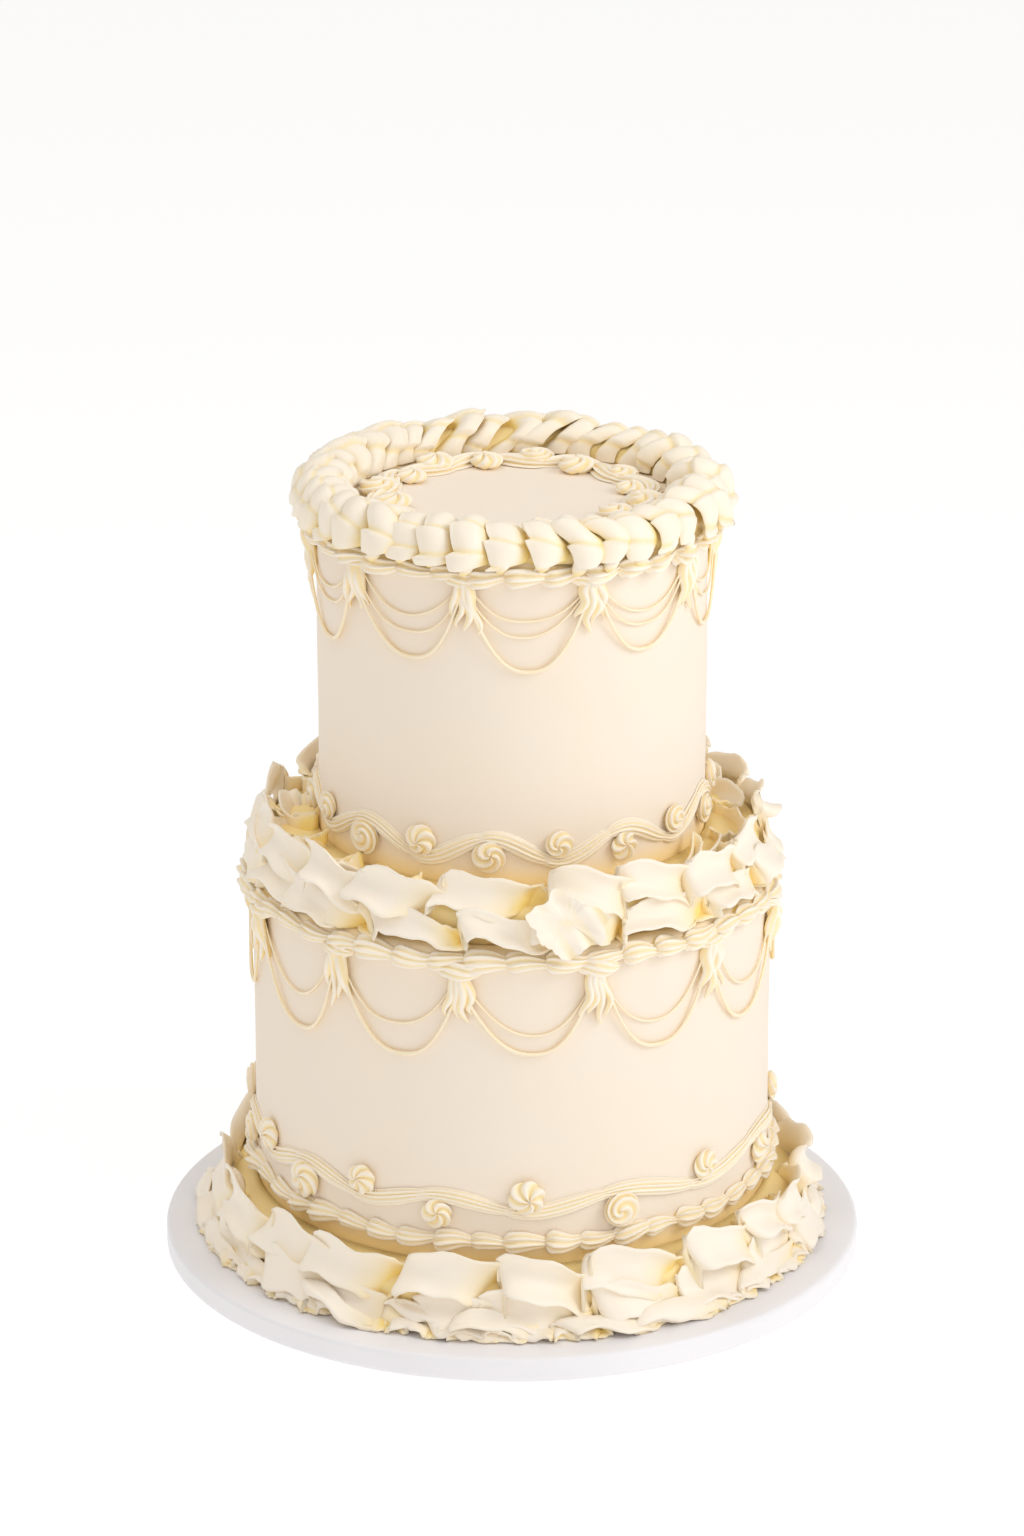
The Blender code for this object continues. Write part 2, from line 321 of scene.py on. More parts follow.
class Piece:
    """One finished piece: closed forms gathered into one mesh, with the painted shade of each point."""

    def __init__(self, name: str) -> None:
        """Starts an empty piece of that name.

        Args:
            name: What the finished object is called.
        """
        self.name = name
        self.points: list[np.ndarray] = []
        self.painted_shades: list[np.ndarray] = []
        self.corners: list[np.ndarray] = []
        self.totals: list[np.ndarray] = []
        self.count = 0

    def add(self, form: Form, points: np.ndarray, painted_shade: np.ndarray) -> None:
        """Adds a form with its points moved.

        Args:
            form: Where the faces come from.
            points: The new place of each point.
            painted_shade: How much painted shade each point gets, from 0 to 1, most deep in folds.
        """
        self.points.append(points.reshape(-1, 3))
        self.painted_shades.append(np.broadcast_to(painted_shade, form.along.shape))
        self.corners.append(form.corners + self.count)
        self.totals.append(form.totals)
        self.count += len(form.along)

    def rope(self, seat: Seat, angle: float, rope: Rope) -> None:
        """Lays a rope on a seat.

        Args:
            seat: What it lies on.
            angle: Where its path starts, in degrees.
            rope: The rope.
        """
        form = BENCH.spindle(rope.rings, rope.sides)
        along, around = form.along, form.around
        near = 0.004
        here_x, here_y = rope.path(along)
        ahead_x, ahead_y = rope.path(along + near)
        behind_x, behind_y = rope.path(along - near)
        run_x, run_y = ahead_x - behind_x, ahead_y - behind_y
        length = np.maximum(np.hypot(run_x, run_y), 1e-9)
        round_end = np.sqrt(np.clip(4 * along * (1 - along), 0, 1)) ** 0.55
        ridge = rope.ribs.ridge(along, around)
        head = np.exp(-(((along - 0.10) / 0.09) ** 2))
        swell = (1 - rope.ribs.depth * (1 - ridge)) * round_end
        swell = swell * (1 + rope.fins * (ridge**2 - 0.4) * head)
        side = rope.half_width(along) * np.cos(around) * swell
        lift = rope.half_height(along) * np.sin(around) * swell
        points = seat.place(
            angle, here_x - run_y / length * side, here_y + run_x / length * side, rope.rise(along) + lift
        )
        # Painted shade: darker in the grooves between ribs and on the underside, where the rope meets its
        # seat.
        groove = 0.66 * (1 - ridge)
        under = 0.80 * eased(0.0, 0.70, -np.sin(around))
        self.add(form, points, np.clip(groove + under + rope.shade - 0.10, 0, 1))

    def make(self, finishes: "Finishes", slot: Slot, replaced: Sequence[str]) -> bpy.types.Object:
        """Builds the mesh, dresses it and gives it to the frame.

        Args:
            finishes: The materials.
            slot: The record's slot that the piece stands for.
            replaced: The solids that it takes the place of.

        Returns:
            The new object, at the origin.
        """
        points = np.concatenate(self.points).astype(np.float32)
        corners = np.concatenate(self.corners).astype(np.int32)
        totals = np.concatenate(self.totals).astype(np.int32)
        starts = np.concatenate([[0], np.cumsum(totals)[:-1]]).astype(np.int32)
        mesh = bpy.data.meshes.new(self.name)
        mesh.vertices.add(len(points))
        mesh.vertices.foreach_set("co", points.ravel())
        mesh.loops.add(len(corners))
        mesh.loops.foreach_set("vertex_index", corners)
        mesh.polygons.add(len(totals))
        mesh.polygons.foreach_set("loop_start", starts)
        mesh.update(calc_edges=True)
        mesh.validate()
        # Each point's painted shade is stored as a mesh attribute, which the buttercream reads to mix in its
        # shade colour.
        depth = mesh.attributes.new("painted_shade", "FLOAT", "POINT")
        depth.data.foreach_set("value", np.concatenate(self.painted_shades).astype(np.float32))
        obj = bpy.data.objects.new(self.name, mesh)
        bpy.context.scene.collection.objects.link(obj)
        face_outwards(obj)
        obj.data.materials.append(finishes.by_slot[slot])
        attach(obj, BODY)
        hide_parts(*replaced)
        return obj


def face_outwards(obj: bpy.types.Object) -> None:
    """Turns all faces of an object outwards and shades them smooth.

    Args:
        obj: The object, linked to the scene.
    """
    bpy.ops.object.select_all(action="DESELECT")
    obj.select_set(True)
    bpy.context.view_layer.objects.active = obj
    bpy.ops.object.mode_set(mode="EDIT")
    bpy.ops.mesh.select_all(action="SELECT")
    bpy.ops.mesh.normals_make_consistent(inside=False)
    bpy.ops.object.mode_set(mode="OBJECT")
    bpy.ops.object.shade_smooth()


@dataclass(frozen=True)
class CakeSizes:
    """The driving sizes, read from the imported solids."""

    board_radius: float
    board_top: float
    lower_radius: float
    lower_top: float
    upper_radius: float
    upper_top: float

    @classmethod
    def from_frame(cls) -> "CakeSizes":
        """Reads the sizes from the solids' boxes."""
        board, lower, upper = (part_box(name)[1] for name in ("board", "lower_tier", "upper_tier"))
        return cls(board[1], board[2], lower[1], lower[2], upper[1], upper[2])


@dataclass(frozen=True)
class CreamGrain:
    """The shared shader group that gives icing its fine grain, its smears and its uneven tone."""

    name: str = "cream_grain"

    def build(self) -> bpy.types.NodeTree:
        """Makes the group, with Grain Scale and Smear Scale going in and Height and Tone coming out.

        Returns:
            The group.
        """
        group = bpy.data.node_groups.new(self.name, "ShaderNodeTree")
        face = group.interface
        face.new_socket("Grain Scale", in_out="INPUT", socket_type="NodeSocketFloat")
        face.new_socket("Smear Scale", in_out="INPUT", socket_type="NodeSocketFloat")
        face.new_socket("Height", in_out="OUTPUT", socket_type="NodeSocketFloat")
        face.new_socket("Tone", in_out="OUTPUT", socket_type="NodeSocketFloat")
        nodes, links = group.nodes, group.links
        enter, leave = nodes.new("NodeGroupInput"), nodes.new("NodeGroupOutput")
        where = nodes.new("ShaderNodeTexCoord")
        grain, smear = nodes.new("ShaderNodeTexNoise"), nodes.new("ShaderNodeTexNoise")
        grain.inputs["Detail"].default_value = 3.0
        grain.inputs["Roughness"].default_value = 0.6
        smear.inputs["Detail"].default_value = 2.0
        links.new(where.outputs["Object"], grain.inputs["Vector"])
        links.new(where.outputs["Object"], smear.inputs["Vector"])
        links.new(enter.outputs["Grain Scale"], grain.inputs["Scale"])
        links.new(enter.outputs["Smear Scale"], smear.inputs["Scale"])
        blend = nodes.new("ShaderNodeMath")
        blend.operation = "MULTIPLY_ADD"
        blend.inputs[1].default_value = 0.35
        links.new(grain.outputs["Fac"], blend.inputs[0])
        links.new(smear.outputs["Fac"], blend.inputs[2])
        links.new(blend.outputs[0], leave.inputs["Height"])
        links.new(smear.outputs["Fac"], leave.inputs["Tone"])
        return group


@dataclass(frozen=True)
class Coat:
    """What every finish of the cake has: its gloss, and the shared grain as a faint relief."""

    name: str
    roughness: float
    specular: float
    grain_scale: float
    smear_scale: float
    bump: float
    bump_depth: float

    def build(self, grain: bpy.types.NodeTree) -> bpy.types.Material:
        """Makes the material.

        Args:
            grain: The shared grain group.

        Returns:
            The material.
        """
        made = bpy.data.materials.new(self.name)
        made.use_nodes = True
        nodes, links = made.node_tree.nodes, made.node_tree.links
        shader = nodes["Principled BSDF"]
        shader.inputs["Roughness"].default_value = self.roughness
        shader.inputs["Specular IOR Level"].default_value = self.specular
        surface = nodes.new("ShaderNodeGroup")
        surface.node_tree = grain
        surface.inputs["Grain Scale"].default_value = self.grain_scale
        surface.inputs["Smear Scale"].default_value = self.smear_scale
        bump = nodes.new("ShaderNodeBump")
        bump.inputs["Strength"].default_value = self.bump
        bump.inputs["Distance"].default_value = self.bump_depth
        links.new(surface.outputs["Height"], bump.inputs["Height"])
        links.new(bump.outputs["Normal"], shader.inputs["Normal"])
        links.new(self.tint(made.node_tree, surface.outputs["Tone"]), shader.inputs["Base Color"])
        return made

    def tint(self, tree: bpy.types.NodeTree, tone: bpy.types.NodeSocket) -> bpy.types.NodeSocket:
        """Colours the coat, which each kind of coat does in its own way.

        Args:
            tree: The material's nodes.
            tone: The grain's uneven tone.

        Returns:
            The socket that gives the colour.
        """
        raise NotImplementedError

    @staticmethod
    def mix(
        tree: bpy.types.NodeTree, share: bpy.types.NodeSocket, first: Sequence[float], second: Sequence[float]
    ) -> bpy.types.NodeSocket:
        """Adds a node that mixes two colours.

        Args:
            tree: The material's nodes.
            share: The socket that gives the second colour's share.
            first: The first colour.
            second: The second colour.

        Returns:
            The socket that gives the mixed colour.
        """
        node = tree.nodes.new("ShaderNodeMix")
        node.data_type = "RGBA"
        node.inputs["A"].default_value = (*first, 1)
        node.inputs["B"].default_value = (*second, 1)
        tree.links.new(share, node.inputs["Factor"])
        return node.outputs["Result"]


@dataclass(frozen=True)
class Buttercream(Coat):
    """Icing: pale where it is open, with painted shade in a warm deeper colour in its folds, and a soft
    sheen.
    """

    open_colour: tuple[float, float, float]
    # The colour of the painted shade, mixed in at folds, grooves and where piping meets the icing.
    painted_shade_colour: tuple[float, float, float]

    def tint(self, tree: bpy.types.NodeTree, tone: bpy.types.NodeSocket) -> bpy.types.NodeSocket:
        """Mixes the open and the painted shade colour by each point's painted shade, a little unevenly.

        Args:
            tree: The material's nodes.
            tone: The grain's uneven tone.

        Returns:
            The socket that gives the colour.
        """
        # Reads each point's painted shade, which the grain's tone then varies a little.
        depth = tree.nodes.new("ShaderNodeAttribute")
        depth.attribute_name = "painted_shade"
        uneven = tree.nodes.new("ShaderNodeMath")
        uneven.operation = "MULTIPLY_ADD"
        uneven.inputs[1].default_value = 0.16
        uneven.inputs[2].default_value = -0.04
        total = tree.nodes.new("ShaderNodeMath")
        total.operation = "ADD"
        total.use_clamp = True
        tree.links.new(tone, uneven.inputs[0])
        tree.links.new(uneven.outputs[0], total.inputs[0])
        tree.links.new(depth.outputs["Fac"], total.inputs[1])
        return self.mix(tree, total.outputs[0], self.open_colour, self.painted_shade_colour)


@dataclass(frozen=True)
class BoardPaper(Coat):
    """The board's white covering, with its faint embossed grain."""

    colour: tuple[float, float, float]

    def tint(self, tree: bpy.types.NodeTree, tone: bpy.types.NodeSocket) -> bpy.types.NodeSocket:
        """Lets the white vary a little to either side.

        Args:
            tree: The material's nodes.
            tone: The grain's uneven tone.

        Returns:
            The socket that gives the colour.
        """
        darker, lighter = ([part * factor for part in self.colour] for factor in (0.95, 1.05))
        return self.mix(tree, tone, darker, lighter)


@dataclass(frozen=True)
class Finishes:
    """The cake's three materials, each under the slot that it stands for."""

    by_slot: dict[Slot, bpy.types.Material]

    @classmethod
    def build(cls) -> "Finishes":
        """Makes the shared grain and the three materials.

        Returns:
            The materials under their slots.
        """
        grain = CreamGrain().build()
        coats = {
            Slot.BOARD: BoardPaper(
                name="board_paper",
                colour=(0.90, 0.88, 0.905),
                roughness=0.42,
                specular=0.5,
                grain_scale=700,
                smear_scale=18,
                bump=0.25,
                bump_depth=0.0004,
            ),
            Slot.SMOOTH: Buttercream(
                name="smooth_buttercream_coat",
                open_colour=(0.93, 0.82, 0.70),
                # Painted shade colour for the folds and recesses.
                painted_shade_colour=(1.0, 0.78, 0.40),
                roughness=0.62,
                specular=0.35,
                grain_scale=520,
                smear_scale=24,
                bump=0.35,
                bump_depth=0.0006,
            ),
            Slot.PIPED: Buttercream(
                name="piped_buttercream_coat",
                open_colour=(0.985, 0.900, 0.785),
                # Painted shade colour for the folds and recesses.
                painted_shade_colour=(1.0, 0.765, 0.27),
                roughness=0.42,
                specular=0.35,
                grain_scale=420,
                smear_scale=60,
                bump=0.18,
                bump_depth=0.0005,
            ),
        }
        return cls({slot: coat.build(grain) for slot, coat in coats.items()})


@dataclass
class RoundSlab:
    """A turned slab: the board, or an iced tier, whose icing has painted shade where piping meets it."""

    name: str
    replaced: str
    slot: Slot
    radius: float
    bottom: float
    top: float
    rim_round: float
    swell: float = 0.0
    # Height up to which the wall's foot gets painted shade; 0 gives none.
    painted_shade_height: float = 0.0
    seed: int = 1
    sides: int = 256

    def outline(self) -> np.ndarray:
        """Gives the slab's outline from the middle of its top to the middle of its underside.

        Returns:
            Its points in radius and height.
        """
        bend = np.linspace(0, math.pi / 2, 6)
        rim = self.radius - self.rim_round
        reach = np.concatenate([[0.0], rim * np.linspace(0.02, 0.98, 9)])
        top = np.stack([reach, np.full(len(reach), self.top)], axis=-1)
        upper = np.stack(
            [rim + self.rim_round * np.sin(bend), self.top - self.rim_round * (1 - np.cos(bend))], axis=-1
        )
        heights = np.linspace(self.top - self.rim_round, self.bottom + self.rim_round, 50)[1:-1]
        wall = np.stack([np.full(len(heights), self.radius), heights], axis=-1)
        lower = upper[::-1] * (1, -1) + (0, self.top + self.bottom)
        under = top[::-1] * (1, -1) + (0, self.top + self.bottom)
        return np.concatenate([top, upper, wall, lower, under])

    def build(self, finishes: Finishes) -> list[bpy.types.Object]:
        """Turns the slab, with the faint unevenness that a scraper leaves.

        Args:
            finishes: The materials.

        Returns:
            The one piece.
        """
        outline = self.outline()
        last = len(outline) - 1
        form = BENCH.spindle(last, self.sides)
        ring = np.rint(form.step / math.pi * last).astype(int)
        radius, height = outline[ring, 0], outline[ring, 1]
        wobble, slow = Wobble(self.seed, 2, 9), Wobble(self.seed + 1, 1, 5)
        turn = form.around / (2 * math.pi)
        uneven = wobble(turn + height * 1.3) * 0.6 + slow(height * 4 + 0.3 * np.sin(form.around)) * 0.4
        wide = radius / self.radius
        radius = radius + self.swell * uneven * eased(0.9, 1.0, wide)
        points = np.stack([radius * np.cos(form.around), radius * np.sin(form.around), height], axis=-1)
        # Painted shade: a band on the wall's foot, under the piping there, and a weaker one round the top
        # edge under the border.
        foot_and_rim_shade = np.zeros(len(height))
        if self.painted_shade_height:
            foot = 1 - eased(self.painted_shade_height - 0.007, self.painted_shade_height + 0.005, height)
            head = eased(self.top - 0.012, self.top + 0.004, height) * eased(0.62, 1.0, wide)
            foot_and_rim_shade = np.maximum(foot, head * 0.6)
        piece = Piece(self.name)
        piece.add(form, points, foot_and_rim_shade)
        return [piece.make(finishes, self.slot, (self.replaced,))]


# The bends of one pleat: the place round the cake in pleats, and the outward share of the depth.
# A pleat bulges early, sinks behind the next one, and turns back to meet it.
PLEAT = (
    (-0.12, 0.20), (-0.125, 0.75), (-0.03, 1.08), (0.16, 1.02), (0.40, 0.80), (0.62, 0.50),
    (0.79, 0.05), (0.92, -1.00), (0.985, -1.80), (1.00, -2.15), (0.965, -1.80), (0.93, -1.00),
    (0.89, -0.35),
)


@dataclass(frozen=True)
class PleatPlay:
    """How far pleats differ from each other, as shares of a ruffle's unevenness."""

    deep: float = 1.6
    shifted: float = 0.60
    fanned: float = 0.9
    leant: float = 0.9
    tilted: float = 2.0
    raised: float = 0.8


@dataclass
class Ruffle:
    """A pleated ribbon of petal-nozzle piping, thin and wavy along its free edges.

    Its section runs from the bottom edge to the top edge, in radius and height. Shares, overlaps and
    half thicknesses are given for the bottom, the middle and the top of the ribbon.
    """

    name: str
    replaced: Sequence[str]
    pleats: int
    start: float
    section: Sequence[tuple[float, float]]
    depth: float
    seed: int
    floor: float
    shares: tuple[float, float, float]
    overlaps: tuple[float, float, float] = (0.75, 0.9, 1.05)
    half_thickness: tuple[float, float, float] = (0.00085, 0.00120, 0.00062)
    tilt: float = 0.0074
    ragged: float = 0.0010
    flutter: float = 0.0019
    dimple: float = 0.0009
    corner: float = 0.0026
    hump: float = 0.0012
    belly: float = 0.0012
    unevenness: float = 0.34
    vary: PleatPlay = PleatPlay()
    stations: int = 46
    rows: int = 16

    def fold_line(self) -> tuple[np.ndarray, np.ndarray]:
        """Gives the pleated line round the cake.

        Returns:
            Its sideways place in pleats and its outward share, station by station.
        """
        knots = np.array(PLEAT)
        extended = np.concatenate([knots[-1:] - (1, 0), knots, knots[:2] + (1, 0)])
        one = through(extended, self.stations + 1)[:-1]
        sideways = np.concatenate([one[:, 0] + pleat for pleat in range(self.pleats)])
        return sideways, np.tile(one[:, 1], self.pleats)

    def by_pleat(self, draw: np.random.Generator) -> np.ndarray:
        """Draws a value from -1 to 1 for each pleat, with the change hidden in the fold behind it.

        Args:
            draw: The source of the pleats' differences.

        Returns:
            The value at each station.
        """
        values = draw.uniform(-1, 1, self.pleats)
        number = np.arange(self.pleats * self.stations)
        pleat, step = number // self.stations, number % self.stations / self.stations
        blend = eased(0.62, 0.98, step)
        return values[pleat] * (1 - blend) + values[(pleat + 1) % self.pleats] * blend

    def profile(self) -> tuple[np.ndarray, np.ndarray]:
        """Gives the ribbon's outline in radius and height.

        Returns:
            Its points from the bottom edge to the top edge, and the direction along its chord.
        """
        knots = np.array(self.section)
        extended = np.concatenate([2 * knots[:1] - knots[1:2], knots, 2 * knots[-1:] - knots[-2:-1]])
        points = through(extended, self.rows)
        chord = points[-1] - points[0]
        return points, chord / np.linalg.norm(chord)

    def relief(self, turn: np.ndarray, row: np.ndarray) -> np.ndarray:
        """Gives the flutter of the two edges and the dimples between them, outwards.

        Args:
            turn: The share of a round at each station.
            row: The share of the way up at each row.

        Returns:
            Distances by station and row.
        """
        edge = np.abs(2 * row - 1) ** 2
        upper = Wobble(self.seed + 3, self.pleats, self.pleats * 4)(turn)[:, None]
        lower = Wobble(self.seed + 5, self.pleats, self.pleats * 4)(turn)[:, None]
        dimples = Wobble(self.seed + 7, self.pleats * 2, self.pleats * 4)
        dented = dimples(turn[:, None] + 0.25 / self.pleats * row[None]) * (1 - edge)
        return self.flutter * np.where(row > 0.5, upper, lower) * edge + self.dimple * dented

    def edges(
        self, turn: np.ndarray, inside: np.ndarray, row: np.ndarray, draw: np.random.Generator
    ) -> np.ndarray:
        """Gives the ragged nicks, the rounded corners and the humps of the two edges, upwards.

        Args:
            turn: The share of a round at each station.
            inside: The place within its pleat at each station.
            row: The share of the way up at each row.
            draw: The source of the pleats' differences.

        Returns:
            Distances by station and row.
        """
        above, below = np.clip(2 * row - 1, 0, 1), np.clip(1 - 2 * row, 0, 1)
        nick = self.ragged * Wobble(self.seed + 4, self.pleats * 3, self.pleats * 9, 9)(turn)
        ends = np.exp(-(((inside + 0.13) / 0.055) ** 2)) + np.exp(-(((inside - 0.98) / 0.14) ** 2))
        rounded = self.corner * ends[:, None] * np.clip(2 * row - 1, -0.5, 1) ** 3
        wave = 2 * math.pi * inside
        lip = np.sin(wave + 0.6 + 1.3 * self.by_pleat(draw))
        lip = lip + 0.6 * np.sin(2 * wave + 2.0 * self.by_pleat(draw))
        hem = np.sin(wave + 1.5 * self.by_pleat(draw))
        hem = hem + 0.7 * np.sin(2 * wave + 2.0 * self.by_pleat(draw))
        humps = self.hump * (lip[:, None] * above + hem[:, None] * below)
        return nick[:, None] * (above**5 - below**5) - rounded + humps

    def surface(self) -> tuple[np.ndarray, np.ndarray, np.ndarray]:
        """Lays out the ribbon's middle surface.

        Returns:
            Its points by station and row, the painted shade of each, and the share of each row from the
            bottom edge to the top edge.
        """
        sideways, outward = self.fold_line()
        profile, chord = self.profile()
        draw = np.random.default_rng(self.seed)
        even = np.arange(len(sideways)) / self.stations
        turn = even / self.pleats
        row = np.linspace(0, 1, self.rows)
        inside = sideways - even // 1
        thirds = [0, 0.5, 1]

        def varied(share: float) -> np.ndarray:
            """Draws how far each pleat strays, for a share of the unevenness."""
            return share * self.unevenness * self.by_pleat(draw)

        deep = 1 + varied(self.vary.deep)
        shifted, fanned = varied(self.vary.shifted), varied(self.vary.fanned)
        leant = self.depth * varied(self.vary.leant)
        tilted = self.tilt * (1 + varied(self.vary.tilted))
        raised = self.tilt * varied(self.vary.raised)

        overlap = np.interp(row, thirds, self.overlaps)
        place = even[:, None] + (sideways - even)[:, None] * overlap + shifted[:, None]
        angle = self.start + 360 / self.pleats * (place + fanned[:, None] * (row - 0.5))
        slide = tilted * (0.5 - np.clip((inside + 0.1) / 1.08, 0, 1)) + raised
        along = slide[:, None] + self.edges(turn, inside, row, draw)
        out = (self.depth * outward * deep)[:, None] * np.interp(row, thirds, self.shares)
        out = out + leant[:, None] * (2 * row - 1) + self.relief(turn, row)
        out = out + self.belly * (0.4 + self.by_pleat(draw))[:, None] * np.sin(math.pi * row)
        radius = profile[:, 0] + out * chord[1] + along * chord[0]
        height = profile[:, 1] - out * chord[0] + along * chord[1]
        height = np.maximum(height, self.floor + self.half_thickness[0] + 0.0002)
        # Painted shade: darker where a pleat tucks in behind the next one, fading towards the two edges.
        tucked_shade = np.clip(0.44 - 0.62 * outward, 0, 1)[:, None]
        return turned(angle, radius, height), tucked_shade * (1 - 0.55 * np.abs(2 * row - 1) ** 2), row

    def lay(self, piece: Piece) -> None:
        """Gives the ribbon its thickness and adds it to a piece.

        Args:
            piece: The piece that it belongs to.
        """
        middle, painted_shade, row = self.surface()
        round_way = np.roll(middle, -1, axis=0) - np.roll(middle, 1, axis=0)
        normal = np.cross(round_way, np.gradient(middle, axis=1))
        normal /= np.maximum(np.linalg.norm(normal, axis=-1, keepdims=True), 1e-12)
        half = np.interp(row, [0, 0.10, 0.5, 0.90, 1], np.array(self.half_thickness)[[0, 0, 1, 2, 2]])
        half = half * np.sqrt(np.clip(1 - np.abs(2 * row - 1) ** 24, 0.08, 1))
        offset = normal * half[None, :, None]
        loop = np.concatenate([middle + offset, (middle - offset)[:, ::-1]], axis=1)
        # The ribbon's back face gets half the front's painted shade, plus a little.
        shade = np.concatenate([painted_shade, painted_shade[:, ::-1] * 0.5 + 0.06], axis=1)
        piece.add(BENCH.ring(loop.shape[0], loop.shape[1]), loop, np.clip(shade, 0, 1).ravel())

    def build(self, finishes: Finishes, *others: "Bed | Ruffle") -> bpy.types.Object:
        """Builds the ribbon, together with the beds or ribbons that belong to the same piece.

        Args:
            finishes: The materials.
            others: The beds or ribbons.

        Returns:
            The one piece.
        """
        piece = Piece(self.name)
        self.lay(piece)
        for other in others:
            other.lay(piece)
        return piece.make(finishes, Slot.PIPED, self.replaced)


@dataclass
class Bed:
    """The icing that a ruffle is piped against, as a plain ring with an outline in radius and height."""

    outline: Sequence[tuple[float, float]]
    stations: int = 180
    # An even painted shade over the whole bed, which sits in the ruffles' shade.
    painted_shade: float = 0.75

    def lay(self, piece: Piece) -> None:
        """Adds the ring to a piece.

        Args:
            piece: The piece that it belongs to.
        """
        outline = np.array(self.outline)
        turns = np.linspace(0, 360, self.stations, endpoint=False)[:, None]
        points = turned(turns + 0 * outline[:, 0], outline[:, 0] + 0 * turns, outline[:, 1] + 0 * turns)
        form = BENCH.ring(self.stations, len(outline))
        piece.add(form, points, np.full(len(form.along), self.painted_shade))


@dataclass
class BaseRuffles:
    """The three ruffles round the foot of the lower tier."""

    sizes: CakeSizes
    pleats: int = 20
    start: float = -19.0

    def build(self, finishes: Finishes) -> list[bpy.types.Object]:
        """Builds the band on the board, the frill under it and the standing band above.

        The frill's piece holds a second ribbon, nested behind the first.

        Args:
            finishes: The materials.

        Returns:
            The three pieces.
        """
        floor = self.sizes.board_top
        wall = self.sizes.lower_radius + 0.0006
        bed = Bed(
            (
                (wall, floor + 0.0010), (wall, 0.0362), (0.1150, 0.0342), (0.1175, 0.0338),
                (0.1205, 0.0320), (0.1238, 0.0292), (0.1256, 0.0262), (0.1252, 0.0180),
                (0.1252, floor + 0.0010),
            )
        )
        flounce = Ruffle(
            name="base_flounce",
            replaced=("base_ruffle_outer",),
            pleats=self.pleats,
            start=self.start + 1.0,
            section=(
                (0.1348, 0.0122), (0.1318, 0.0140), (0.1284, 0.0176), (0.1266, 0.0224),
                (0.1266, 0.0275),
            ),
            depth=0.0032,
            seed=11,
            floor=floor,
            shares=(1.25, 0.9, 0.8),
            tilt=0.0048,
        )
        nested = Ruffle(
            name="base_skirt_inner",
            replaced=(),
            pleats=self.pleats,
            start=self.start - 5.5,
            section=(
                (0.1362, 0.0124), (0.1342, 0.0136), (0.1322, 0.0154), (0.1308, 0.0174),
                (0.1302, 0.0190),
            ),
            depth=0.0036,
            seed=29,
            floor=floor,
            shares=(1.25, 0.9, 0.6),
            tilt=0.0052,
            unevenness=0.5,
        )
        skirt = Ruffle(
            name="base_skirt",
            replaced=("base_ruffle_middle",),
            pleats=self.pleats * 2 + 5,
            start=self.start + 5,
            section=((0.1374, 0.0124), (0.1344, 0.0132), (0.1312, 0.0138), (0.1280, 0.0140)),
            depth=0.0016,
            seed=23,
            floor=floor,
            shares=(1.3, 0.8, 0.2),
            stations=26,
            rows=10,
            tilt=0.0012,
        )
        collar = Ruffle(
            name="base_collar",
            replaced=("base_ruffle_inner",),
            pleats=self.pleats,
            start=self.start,
            section=(
                (0.1302, 0.0262), (0.1268, 0.0280), (0.1240, 0.0312), (0.1226, 0.0354),
                (0.1232, 0.0398), (0.1254, 0.0438),
            ),
            depth=0.0040,
            seed=37,
            floor=floor,
            shares=(1.2, 0.85, 1.0),
        )
        return [flounce.build(finishes, bed), skirt.build(finishes, nested), collar.build(finishes)]


@dataclass
class LedgeRuffles:
    """The ruffles on the ledge, round the foot of the upper tier."""

    sizes: CakeSizes
    pleats: int = 18
    start: float = -11.5

    def build(self, finishes: Finishes) -> list[bpy.types.Object]:
        """Builds the drooping band, the standing band on it and the low inner frill.

        Args:
            finishes: The materials.

        Returns:
            The three pieces.
        """
        floor = self.sizes.lower_top
        wall = self.sizes.upper_radius + 0.0006
        bed = Bed(
            (
                (wall, floor + 0.0006), (wall, 0.1960), (0.0890, 0.1950), (0.0930, 0.1948),
                (0.0985, 0.1945), (0.1035, 0.1940), (0.1066, 0.1912), (0.1064, 0.1850),
                (0.1064, floor + 0.0006),
            )
        )
        flounce = Ruffle(
            name="ledge_flounce",
            replaced=("ledge_ruffle_outer",),
            pleats=self.pleats,
            start=self.start + 1.0,
            section=(
                (0.1150, 0.1806), (0.1120, 0.1822), (0.1094, 0.1852), (0.1082, 0.1890),
                (0.1082, 0.1925),
            ),
            depth=0.0032,
            seed=41,
            floor=floor,
            shares=(1.2, 0.9, 0.8),
            tilt=0.0048,
        )
        skirt = Ruffle(
            name="ledge_skirt",
            replaced=("ledge_ruffle_middle",),
            pleats=self.pleats,
            start=self.start,
            section=(
                (0.1106, 0.1915), (0.1072, 0.1932), (0.1046, 0.1960), (0.1034, 0.1996),
                (0.1040, 0.2032), (0.1058, 0.2064),
            ),
            depth=0.0042,
            seed=53,
            floor=floor,
            shares=(1.2, 0.85, 1.0),
        )
        collar = Ruffle(
            name="ledge_collar",
            replaced=("ledge_ruffle_inner",),
            pleats=self.pleats,
            start=self.start + 9,
            section=(
                (0.0905, 0.1885), (0.0922, 0.1915), (0.0940, 0.1950), (0.0955, 0.1985),
                (0.0972, 0.2018),
            ),
            depth=0.0036,
            seed=67,
            floor=floor,
            shares=(0.4, 0.8, 1.1),
            tilt=0.0034,
        )
        return [flounce.build(finishes, bed), skirt.build(finishes), collar.build(finishes)]


